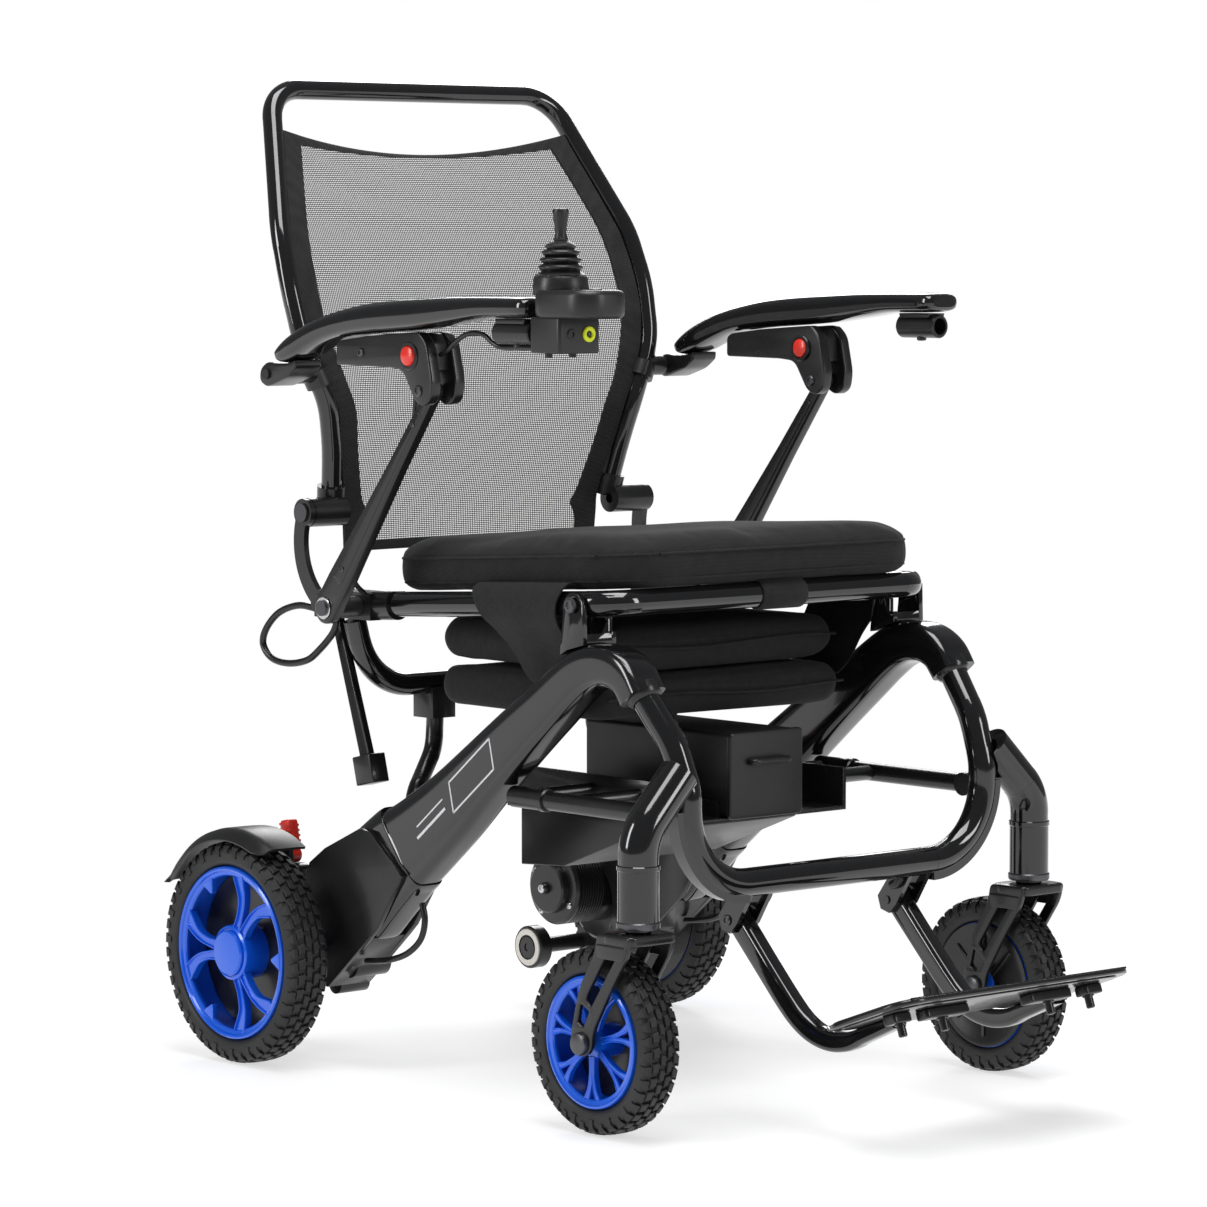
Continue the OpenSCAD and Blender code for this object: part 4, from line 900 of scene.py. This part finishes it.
def seat_cushion():
    w, d = 400, 362
    rings = []
    for z, inset in ((13.5, 12), (15, 4), (22, 0.5), (38, 0), (48, 2), (53, 9), (55.5, 22)):
        rings.append([seat_point(p[0], 130 + p[1], z) for p in outline(w - 2 * inset, d - 2 * inset,
                                                                       58 - inset * 0.6)])
    pad = puff(loft("cushion", rings), 0.006, 4.0, 0.006)
    # The underside lies flat on the rails, and the top dips a little where it's sat on
    c, s = math.cos(TILT), math.sin(TILT)
    for v in pad.data.vertices:
        y, z = v.co.y - SEAT_Y * MM, v.co.z - SEAT_Z * MM
        lz = y * s + z * c
        ly = y * c - z * s
        lz = max(lz, 0.0125)
        u = (v.co.x / 0.2) ** 2
        f = ((ly - 0.130) / 0.18) ** 2
        if lz > 0.04:
            lz += 0.004 * (1 - min(u, 1)) * (1 - min(f,
                                                     1)) + 0.0012 * math.sin(v.co.x * 34 + 1) * math.sin(ly * 29)
        v.co.y = SEAT_Y * MM + ly * c + lz * s
        v.co.z = SEAT_Z * MM - ly * s + lz * c
    place(pad, "seat", "cloth", "seat_cushion")
    dg = bpy.context.evaluated_depsgraph_get()
    tree = BVHTree.FromObject(pad, dg)
    for name, lz, r in (("cushion_piping", 43, 1.3), ("cushion_seam", 20, 0.9)):
        pts = []
        for p in outline(w + 60, d + 60, 75, 6):
            o = Vector(seat_point(p[0], 130 + p[1], lz)) * MM
            t = Vector(seat_point(0, 130 + p[1] * 0.1, lz)) * MM
            hit = tree.ray_cast(o, (t - o).normalized())[0]
            if hit:
                pts.append(np.array(hit) / MM)
        if len(pts) > 8:
            pts.append(pts[0])
            pipe = sweep(name, pts, r, sides=8, per=4, closed=True)
            place(pipe, "seat", "band")


def bag_shell(name, w, y0, y1, z0, z1, sag, crown, seed):
    """Soft folded pouch: sides bulge, corners pull in, the front wrinkles."""
    rings = []
    n = 15
    for i in range(n):
        t = i / (n - 1)
        z = z0 + (z1 - z0) * t
        prof = math.sin(math.pi * min(max(t, 0.0), 1.0)) ** 0.35 if 0 < t < 1 else 0.0
        ring = []
        for j, p in enumerate(outline(w, y1 - y0, 22, 14)):
            k = 0.86 + 0.14 * prof
            x, y = p[0] * k, p[1] * k
            wr = (2.2 * math.sin(x * 0.045 + seed + t * 2) + 1.3 * math.sin(x * 0.11 + seed * 2 + t * 5)
                  + 0.8 * math.sin(y * 0.09 + t * 4))
            bow = 1 - (2 * x / w) ** 2
            dz = -sag * bow * (1 - t) + crown * bow * t + wr * 0.7
            ring.append((x, (y0 + y1) / 2 + y + wr * 0.5 * (1 if y < 0 else 0.3), z + dz))
        rings.append(ring)
    o = loft(name, rings, sharp=80)
    s = o.modifiers.new("sub", "SUBSURF")
    s.levels = 1
    return bake(o, 80)


def seat_bag():
    low = bag_shell("pouch_low", 314, -60, 180, 352, 391, 3, 1, 0.4)
    high = bag_shell("pouch_high", 308, -52, 182, 394, 440, 2, 1, 2.1)
    for o in (low, high):
        place(o, "seat", "bag")
    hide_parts("seat_bag")
    for k, (z, y, w) in enumerate(((373, -62.5, 150), (418, -55, 146))):
        pts = [(-w + 2 * w * t, y + 1.5 * math.sin(t * 9 + k),
                z + 2.2 * math.sin(t * 7 + k * 2)) for t in np.linspace(0, 1, 14)]
        place(sweep("pouch_seam_%d" % k, pts, 1.3, 8, 3), "seat", "band")
    # Flaps that wrap over the rails and carry the pouches
    prof = [(158, 380), (170, 392), (183, 416), (199, 436), (210, 449), (214, 462), (212, 472), (205, 478.5),
            (196, 480), (188, 478)]
    c = spline(prof, 4)
    rings = []
    for i, p in enumerate(c):
        t = i / (len(c) - 1)
        y0 = -46 - 22 * min(1, t * 1.5)
        y1 = 22 + 36 * min(1, t * 1.4)
        a = c[max(i - 1, 0)]
        b = c[min(i + 1, len(c) - 1)]
        n = np.array([b[1] - a[1], a[0] - b[0]])
        n /= np.linalg.norm(n)
        ring = []
        cols = 14
        for k in range(cols):
            y = y0 + (y1 - y0) * k / (cols - 1)
            wav = 0.9 * math.sin(y * 0.11 + t * 3) * (1 - t)
            ring.append((p[0] + n[0] * (0.9 + wav), y, p[1] + n[1] * (0.9 + wav) - y * 0.058 * t))
        for k in range(cols - 1, -1, -1):
            y = y0 + (y1 - y0) * k / (cols - 1)
            wav = 0.9 * math.sin(y * 0.11 + t * 3) * (1 - t)
            ring.append((p[0] - n[0] * (0.9 - wav), y, p[1] - n[1] * (0.9 - wav) - y * 0.058 * t))
        rings.append(ring)
    flap = loft("flap", rings, sharp=60)
    pair(flap, "seat_flap", "seat", "bag")
    # Strap round the front cross tube
    pts = [np.array(seat_point(0, -30 + 14.4 * math.cos(a),
                               14.4 * math.sin(a))) for a in np.linspace(0, 2 * math.pi, 25)[:-1]]
    rings = [[(x, p[1], p[2]) for p in pts] for x in (-20, -18, 34, 36)]
    for q in (0, 3):
        mid = np.array(seat_point(rings[q][0][0], -30, 0))
        rings[q] = [tuple(mid + (np.array(v) - mid) * 0.93) for v in rings[q]]
    strap = loft("front_strap", rings, sharp=40)
    place(strap, "seat", "bag")


# ---------------------------------------------------------------- back
MESH = [[160, 314, 492], [162, 313, 520], [163.8, 311, 545], [165.8, 308, 562], [170.4, 305.6, 566],
        [176, 300, 593], [184, 292.5, 630], [197.4, 292.5, 662], [213, 301, 710], [216, 312, 750],
        [212, 330, 797], [201, 350, 837], [187.2, 372.5, 880], [180.5, 383.5, 901]]


def back_row(t):
    c = BACK
    f = t * (len(c) - 1)
    i = min(int(f), len(c) - 2)
    return c[i] + (c[i + 1] - c[i]) * (f - i)


BACK = spline([m for m in MESH if m[0] not in (165.8, 170.4)], 8)


def back_point(u, t, off=0.0):
    q = back_row(t)
    dip = -22 * (1 - u * u) * max(0, (t - 0.78) / 0.22) ** 1.5
    return (q[0] * u, q[1] + 10 * (1 - u * u) + off, q[2] + dip)


def back_fabric():
    rows, cols = 60, 36
    verts, faces = [], []
    for i in range(rows + 1):
        for j in range(cols + 1):
            verts.append(np.array(back_point(2 * j / cols - 1, i / rows)) * MM)
    for i in range(rows):
        for j in range(cols):
            a = i * (cols + 1) + j
            faces.append((a, a + 1, a + cols + 2, a + cols + 1))
    net = solid("back_net", verts, faces, 180)
    place(net, "backrest", "net", "back_mesh")

    def border(name, path):
        """Folded band with turned edges; path gives (u, t) along its outer edge and (u, t) inward."""
        rings = []
        for (u0, t0), (u1, t1) in path:
            ring = []
            for s in np.linspace(0, 1, 5):
                ring.append(back_point(u0 + (u1 - u0) * s, t0 + (t1 - t0) * s,
                                       -1.6 - 0.5 * math.sin(math.pi * s)))
            for s in np.linspace(1, 0, 5):
                ring.append(back_point(u0 + (u1 - u0) * s, t0 + (t1 - t0) * s, 1.6))
            rings.append(ring)
        place(loft(name, rings, sharp=60), "backrest", "band")

    for s, n in ((1, "left"), (-1, "right")):
        path = []
        for t in np.linspace(0, 1, 50):
            w = 23 + 7 * math.exp(-((t - 0.13) / 0.035) ** 2)
            half = back_row(t)[0]
            path.append(((s * 0.999, t), (s * (1 - w / half), t)))
        border("back_border_" + n, path)
    border("back_hem_top", [((u, 1.0), (u, 0.945)) for u in np.linspace(-1, 1, 40)])
    border("back_hem_low", [((u, 0.0), (u, 0.03)) for u in np.linspace(-1, 1, 40)])


# ---------------------------------------------------------------- arms
def armrests():
    arm = superband("arm", ARM, 255, 45, power=0.62, per=8, wide=[30, 40, 44, 45, 45, 46, 47, 47, 46, 45, 44,
                                                                  43, 41, 38, 32])
    pair(arm, "armrest_shell", both("arm"), "gloss", "armrest")
    # Bracket: a plate each side of the strut's upper end, tied along the top
    side = fillet([(188, 678), (188, 697), (182, 701), (140, 705.6), (100, 708.3), (66, 710.3), (54, 700),
                   (46, 664), (49, 648),
                   (60, 641.6), (72, 647), (90, 675), (112, 677)], [4, 4, 3, 3, 3, 5, 8, 10, 8, 8, 8, 8, 3])
    bits = []
    for a, b in ((228, 239.6), (256.4, 268)):
        bits.append(slab("cheek", [side], a, b, 1.6))
    bits.append(slab("bridge", [fillet([(186, 679), (186, 698), (140, 704.6), (66, 709), (58, 700), (56, 674),
                                        (90, 679)], 3)], 238, 258, 0.8))
    for a in (226.6, 266.4):
        bits.append(lathe("ring", [(9.8, -1.6), (12.4, -1.6), (13, -0.8), (13, 2.4), (12.2, 3.2), (9.8, 3.2)],
                          (a, 79, 688), "x", 40))
    bits.append(lathe("knob", [(0, 186), (5, 186), (7, 188), (7.2, 194), (5, 197), (0, 197.6)], (248, 0, 689),
                      "y", 28))
    lug = slab("lug", [fillet([(286, 656.6), (262, 664), (248, 674), (248, 681.4), (264, 677.4), (281, 677.4),
                               (292, 679),
                               (303, 672), (304, 660), (294, 655)], [3, 6, 6, 2, 2, 2, 5, 7, 7, 6])], 238,
               270, 2.0)
    bits.append(lug)
    socket = [(8.1, -86), (10.4, -86), (11.3, -85), (11.3, -37), (10.4, -36), (8.1, -36), (8.1, -86)]
    bits.append(lathe("receiver", socket, (255, 0, 711), "y", 44))
    bits.append(slab("saddle", [fillet([(-80, 719), (-42, 719), (-40, 723.6), (-82, 723.6)], 1.5)], 244, 266,
                     1.2))
    bits.append(lathe("socket_screw", [(0, 697), (3.4, 697), (4.6, 698), (4.6, 700.6), (2.4, 701.2),
                                       (2.4, 703)], (255, -61, 0), "z", 24))
    pair(join("bracket", bits), "arm_bracket_body", both("arm"), "satin", "arm_bracket")
    for k, (x, y, z, r, out) in enumerate(((268, 66, 656, 5.5, 1), (228, 66, 656, 5.5, -1),
                                           (268, 150, 690, 4, 1))):
        pair(screw("arm_screw_%d" % k, x, y, z, r, out), "arm_screw_%d" % k, both("arm"), "dark_steel")
    btn = lathe("button", [(0, 24.6), (6.5, 24.4), (8.6, 23.4), (9.45, 21.6), (9.45, -21.6), (8.6, -23.4),
                           (6.5, -24.4), (0, -24.6)],
                (248, 79, 688), "x", 40)
    pair(btn, "button_cap", both("button"), "red", "release_button")


def struts():
    t, low = np.array([66.0, 656]), np.array([226.0, 447])
    d = (low - t) / np.linalg.norm(low - t)
    n = np.array([-d[1], d[0]])
    def q(u, v):
        p = t + d * u + n * v
        return (p[0], p[1])
    L = np.linalg.norm(low - t)
    out = [q(-7, -3), q(-3, -6.6), q(4, -6.8), q(90, -8.6), q(170, -12), q(L - 30, -15), q(L, -15.2)]
    out += [tuple(low + 15.2 * (math.cos(a) * -n + math.sin(a) * d)) for a in np.linspace(0.3, math.pi - 0.3,
                                                                                          12)]
    out += [q(L, 15.2), q(L - 30, 15), q(170, 12), q(90, 8.6), q(4, 6.8), q(-3, 6.6), q(-7, 3)]
    body = slab("strut", [out, disc(low[0], low[1], 5.2)], 242, 254, 2.6)
    rib = [q(26, -3.2), q(100, -4.4), q(L - 60, -7), q(L - 34, -7), q(L - 34, 7), q(L - 60, 7), q(100, 4.4),
           q(26, 3.2)]
    web = slab("rib", [fillet(rib, 2)], 241.2, 254.9, 1.2)
    pair(join("strut", [body, web]), "strut_body", both("strut"), "satin", "strut")
    for k, (u, r) in enumerate(((40, 2.6), (L - 48, 2.8))):
        p = q(u, 0)
        pair(screw("strut_screw_%d" % k, 254.9, p[0], p[1], r, 1, h=1.2), "strut_screw_%d" % k, both("strut"),
             "dark_steel")
    washer = lathe("washer", [(5.1, 0.4), (10.2, 0.4), (10.6, 1), (10.2, 1.6), (5.1, 1.7)], (254, 226, 447),
                   "x", 32)
    pair(washer, "strut_washer", both("strut"), "steel")


def hand_control():
    x, y, top = -255, -119, 750
    pts = [(x + px, y - 26 + py) for px, py in outline(60, 82, 24)]
    pod = [slab("pod", [pts], top - 25, top, 5.5, plane="xy")]
    pod.append(lathe("collar", [(19.9, -5), (24.5, -5), (25, 2), (24.2, 10), (23, 11.9), (20.4, 11.9),
                                (19.9, 10)], (x, y, top), "z", 56))
    pod.append(slab("case", [fillet([(x - 24, y - 26), (x + 24, y - 26), (x + 24, y + 15), (x - 24, y + 15)],
                                    4)],
                    694, 726, 1.8, plane="xy"))
    for k in (-1, 1):
        pod.append(lathe("foot", [(0, 0), (3.2, 0), (3.6, 0.6), (3.6, 4.4)], (x + k * 14, y, 690), "z", 20))
    pod.append(lathe("bar", [(7.95, 14), (7.95, 75), (7, 76), (0, 76)], (x, y, 711), "y", 32))
    place(join("control_case", pod), "right_arm", "plastic", "controller")
    ring = lathe("socket_ring", [(3.2, 0.6), (3.2, -1.4), (4, -2.2), (6.2, -2.2), (7, -1.4), (7, 0.6)],
                 (x + 10, y - 26, 711), "y", 36)
    place(ring, "right_arm", "yellow")
    plug = lathe("socket_pin", [(0, 0.4), (0, -1.2), (1.3, -1.2), (1.5, -0.8), (1.5, 0.4)],
                 (x + 10, y - 26, 711), "y", 16)
    place(plug, "right_arm", "dark_steel")
    port = lathe("jack_rim", [(2.6, 0.8), (2.6, -1.0), (4.4, -1.0), (5.0, -0.4), (5.0, 0.8)],
                 (x - 10, y - 26, 711), "y", 28)
    place(port, "right_arm", "rubber")
    leds = [lathe("led", [(0, 0.9), (1.2, 0.8), (1.5, 0), (1.5, -0.6)], (x - 12 + 6 * k, y - 32, top), "z",
                  14) for k in range(5)]
    place(join("battery_lights", leds), "right_arm", "dark_steel")
    key = lathe("power_key", [(0, 1.2), (4.4, 1.3), (5.8, 1.1), (6.45, 0.4), (6.45, -2.5), (0, -2.5)],
                (x, y - 46, top), "z", 32)
    place(key, "power_key", "rubber", "power_button")

    def fold(r, z):
        return [(r - 0.6, z - 1.4), (r, z - 0.4), (r, z + 0.4), (r - 0.6, z + 1.2), (r - 4.4, z + 3.2)]
    # Bellows in two lengths, a foot that sits on the collar and a neck above it; neither is attached to a body
    foot = [(4.2, 0.2), (22.3, 0.2), (22.6, 1.2), (20.4, 2.4), (17.4, 4.4)]
    foot += fold(20, 8) + fold(18.6, 14.5)
    foot += [(4.2, 17.7), (4.2, 0.2)]
    neck = [(4.2, 17.7), (14.2, 17.7)] + fold(17.0, 21)
    neck += [(13.8, 26), (14.2, 27.2), (12, 28.6), (8.4, 30.6), (5.2, 31.4), (4.2, 31.4), (4.2, 17.7)]
    boot = lathe("boot_foot", foot, (x, y, top + 12), "z", 56, 50)
    place(boot, None, "rubber", "joystick_boot", "joystick_gimbal")
    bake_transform(boot)
    boot = lathe("boot_neck", neck, (x, y, top + 12), "z", 56, 50)
    place(boot, None, "rubber", "joystick_boot")
    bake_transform(boot)
    knob = lathe("stick_knob", [(0, 11), (3.9, 11), (3.9, 42), (6.2, 43), (6.6, 44.5), (5.4, 47), (5.0, 50),
                                (5.6, 56), (6.6, 63), (7.4, 68),
                                (7.4, 69.8), (6.6, 71.4), (4, 72), (0, 71.2)], (x, y, top), "z", 40)
    place(knob, "stick", "rubber", "joystick_knob")


# ---------------------------------------------------------------- footrest
def footrest():
    line = [[-179, 189, 14], [-187, 181, 22], [-225, 142, 22], [-254, 113, 22], [-272, 98, 21],
            [-290, 89, 20], [-310, 85, 19],
            [-328, 86.5, 18], [-340, 90, 16.5], [-350, 94.6, 15], [-372, 103.6, 13], [-392, 112, 11]]
    arm = superband("foot_arm", line, 101, 18, power=0.55, per=6)
    pair(arm, "foot_arm", "footrest", "gloss")
    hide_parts("footrest_arms")
    c, s = math.cos(math.radians(20)), math.sin(math.radians(20))

    def lay(o, h=0.0):
        o.data.transform(Matrix(((1, 0, 0, 0), (0, c, s, -0.394), (0, -s, c, 0.119), (0, 0, 0, 1))))
        return o
    plate = lay(slab("plate", [outline(300, 115, 30)], 0.2, 5.0, 1.9, plane="xy"))
    rim = [(p[0], p[1], 5.0) for p in outline(292, 107, 27)]
    lip = lay(sweep("lip", rim + [rim[0]], 1.1, 8, 2, closed=True))
    under = lay(slab("under", [outline(282, 97, 24)], -1.2, 0.6, 0.6, plane="xy"))
    place(join("foot_plate", [plate, lip, under]), "footrest", "plate", "footplate")
    bars = []
    for a, b in ((39, 91.6), (110.4, 132)):
        bars.append(lay(slab("bar", [fillet([(a, -24), (b, -24), (b, -8), (a, -8)], 3)], -10, -1.2, 1.5,
                             plane="xy")))
    for px in (67, 119):
        bars.append(lay(lathe("peg", [(0, -22), (3, -22), (4, -21), (4, -12), (5.4, -11.4), (5.4, -9.4)],
                              (px, -16, 0), "z", 20)))
    pair(join("plate_clamps", bars), "plate_clamps", "footrest", "satin")
    stop = sweep("foot_stop", [(84, -208, 206), (84, -203, 199), (84, -196, 196)], 4.5, 12, 4)
    pair(stop, "foot_stop", "chassis", "rubber")


# ---------------------------------------------------------------- cables
def cables():
    loop = [[-206, 284.6, 437.8], [-208, 297, 440], [-212, 320, 442], [-215, 346, 434], [-217, 364, 418],
            [-217, 370, 402],
            [-216, 358, 389], [-214, 334, 385], [-212, 306, 390], [-210, 288, 402], [-209, 273, 415],
            [-209, 266, 424], [-209, 264, 430]]
    place(sweep("release_cable", loop, 3.4, 14, 8), "seat", "cable", "release_loop")
    arm = [[-255, -103.6, 698], [-255, -92, 697.8], [-255, -60, 697.8], [-255, -37, 697.6], [-256, -25, 702],
           [-256, -12, 709],
           [-255, 10, 709], [-254, 28, 702], [-253, 42, 693.5], [-253, 52.5, 689]]
    place(sweep("control_lead", arm, 2.4, 12, 6), "right_arm", "cable", "arm_cable")
    st = [[-237, 106, 673.2], [-237, 106, 660], [-238, 109, 630], [-239.2, 118, 592], [-239.2, 136, 563],
          [-239.2, 160, 530],
          [-239.2, 184, 498], [-238, 200, 478], [-229, 207, 468], [-216, 210, 459]]
    place(sweep("strut_lead", st, 2.4, 12, 6), "right_strut", "cable", "strut_cable")
    mo = [[197, 150, 169], [197, 146, 152], [199, 150, 134], [203, 164, 120], [206, 184, 112],
          [206, 206, 108], [206, 224, 106]]
    o = sweep("motor_lead", mo, 3.1, 12, 8)
    pair(o, "motor_lead", "chassis", "cable")
    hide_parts("motor_cables")


# ---------------------------------------------------------------- battery
def battery():
    y0, z0 = -110, 261.3
    case = slab("case", [fillet([(-44, z0), (44, z0), (44, z0 + 78), (-44, z0 + 78)], 4)], -110, 90, 2.0,
                plane="xy")
    upright = Matrix(((1, 0, 0, 0), (0, 0, 1, 0), (0, 1, 0, 0), (0, 0, 0, 1)))
    case.data.transform(upright)
    front = slab("front", [fillet([(-46, z0 - 2), (46, z0 - 2), (46, z0 + 79), (-46, z0 + 79)], 5)], -116,
                 -110, 1.8, plane="xy")
    front.data.transform(upright)
    grip = sweep("grip", [(-22, -117, z0 + 51), (-20, -122.6, z0 + 51), (0, -123.2, z0 + 51),
                          (20, -122.6, z0 + 51), (22, -117, z0 + 51)], 3.4, 12, 4)
    o = join("battery_case", [case, front, grip])
    fix_normals(o)
    place(o, "battery", "plastic", "battery_pack")


def softened(node, body, mat, width=1.2, angle=40):
    """The solid of a node with its hard edges rounded."""
    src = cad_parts[node]
    o = src.copy()
    o.data = src.data.copy()
    o.name = node + "_soft"
    o.data.name = o.name
    bpy.context.collection.objects.link(o)
    bm = bmesh.new()
    bm.from_mesh(o.data)
    bmesh.ops.remove_doubles(bm, verts=bm.verts, dist=2e-5)
    bmesh.ops.dissolve_limit(bm, angle_limit=math.radians(1.5), verts=bm.verts, edges=bm.edges)
    bm.to_mesh(o.data)
    bm.free()
    soften(o, width, 2, 35, angle)
    return place(o, body, mat, node)


CARRY = {"gloss": "front_loop caster_branch_right caster_branch_left seat_frame seat_rear_tube back_frame",
         "satin": "lower_braces seat_fittings back_knuckles anti_tip_arms",
         "dark_steel": "frame_pins seat_pins"}
for key, names in CARRY.items():
    for n in names.split():
        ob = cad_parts[n]
        if not ob.data.materials:
            ob.data.materials.append(M[key])
        for sl in ob.material_slots:
            sl.material = M[key]

for n, b, m in (("stand_legs", "seat", "satin"), ("rear_supports", "chassis", "satin"),
                ("control_box", "chassis", "plastic"),
                ("battery_tray", "chassis", "satin"), ("seat_clevises", "chassis", "gloss"),
                ("motor_mounts", "chassis", "satin")):
    softened(n, b, m)
side_arches()
arch_stripes()
frame_details()
wheels()
caster_forks()
drive_details()
fenders()
seat_cushion()
seat_bag()
back_fabric()
armrests()
struts()
hand_control()
footrest()
cables()
battery()


# ---------------------------------------------------------------- studio
def studio():
    bpy.ops.mesh.primitive_plane_add(size=40, location=(0, 0, 0))
    floor = bpy.context.object
    floor.name = "studio_floor"
    mat = bpy.data.materials.new("floor_paper")
    nt, bsdf, coord, add = node_tools(mat)
    spread(nt, add, noise_node(nt, add, coord.outputs["Object"], 3), bsdf.inputs["Roughness"], 0.55, 0.7)
    bsdf.inputs["Base Color"].default_value = (0.45, 0.45, 0.455, 1)
    bsdf.inputs["Specular IOR Level"].default_value = 0.15
    bsdf.inputs["Emission Color"].default_value = (1, 1, 1, 1)
    bsdf.inputs["Emission Strength"].default_value = 0.62
    # Plain white beyond the chair's own shadow
    dist = add("ShaderNodeVectorMath", operation="LENGTH")
    nt.links.new(coord.outputs["Object"], dist.inputs[0])
    fade = add("ShaderNodeMapRange", interpolation_type="SMOOTHSTEP")
    fade.inputs["From Min"].default_value = 0.65
    fade.inputs["From Max"].default_value = 1.25
    nt.links.new(dist.outputs["Value"], fade.inputs["Value"])
    paper = add("ShaderNodeEmission")
    both_ways = add("ShaderNodeMixShader")
    nt.links.new(fade.outputs[0], both_ways.inputs[0])
    nt.links.new(bsdf.outputs[0], both_ways.inputs[1])
    nt.links.new(paper.outputs[0], both_ways.inputs[2])
    nt.links.new(both_ways.outputs[0], nt.nodes["Material Output"].inputs[0])
    floor.data.materials.append(mat)

    def lamp(name, loc, size, power, target=(0, 0, 0.4), size_y=None):
        ld = bpy.data.lights.new(name, "AREA")
        ld.energy = power
        ld.shape = "RECTANGLE"
        ld.size = size
        ld.size_y = size_y or size
        o = bpy.data.objects.new(name, ld)
        bpy.context.collection.objects.link(o)
        o.location = loc
        o.rotation_euler = (Vector(target) - Vector(loc)).to_track_quat("-Z", "Y").to_euler()
    lamp("top_light", (-0.3, -0.4, 3.2), 1.6, 80, size_y=2.4)
    lamp("left_light", (-3.2, 1.2, 1.7), 0.7, 50, size_y=2.2)
    lamp("front_light", (1.2, -3.6, 1.9), 0.8, 40, size_y=2.0)
    lamp("rim_light", (2.6, 2.8, 2.2), 1.6, 45, size_y=1.6)

    w = scene.world or bpy.data.worlds.new("studio")
    scene.world = w
    w.use_nodes = True
    nt = w.node_tree
    nt.nodes.clear()
    out = nt.nodes.new("ShaderNodeOutputWorld")
    mix = nt.nodes.new("ShaderNodeMixShader")
    path = nt.nodes.new("ShaderNodeLightPath")
    seen = nt.nodes.new("ShaderNodeBackground")
    seen.inputs[0].default_value = (1, 1, 1, 1)
    seen.inputs[1].default_value = 1.0
    amb = nt.nodes.new("ShaderNodeBackground")
    amb.inputs[0].default_value = (0.95, 0.97, 1, 1)
    amb.inputs[1].default_value = 0.16
    nt.links.new(path.outputs["Is Camera Ray"], mix.inputs[0])
    nt.links.new(amb.outputs[0], mix.inputs[1])
    nt.links.new(seen.outputs[0], mix.inputs[2])
    nt.links.new(mix.outputs[0], out.inputs[0])


studio()
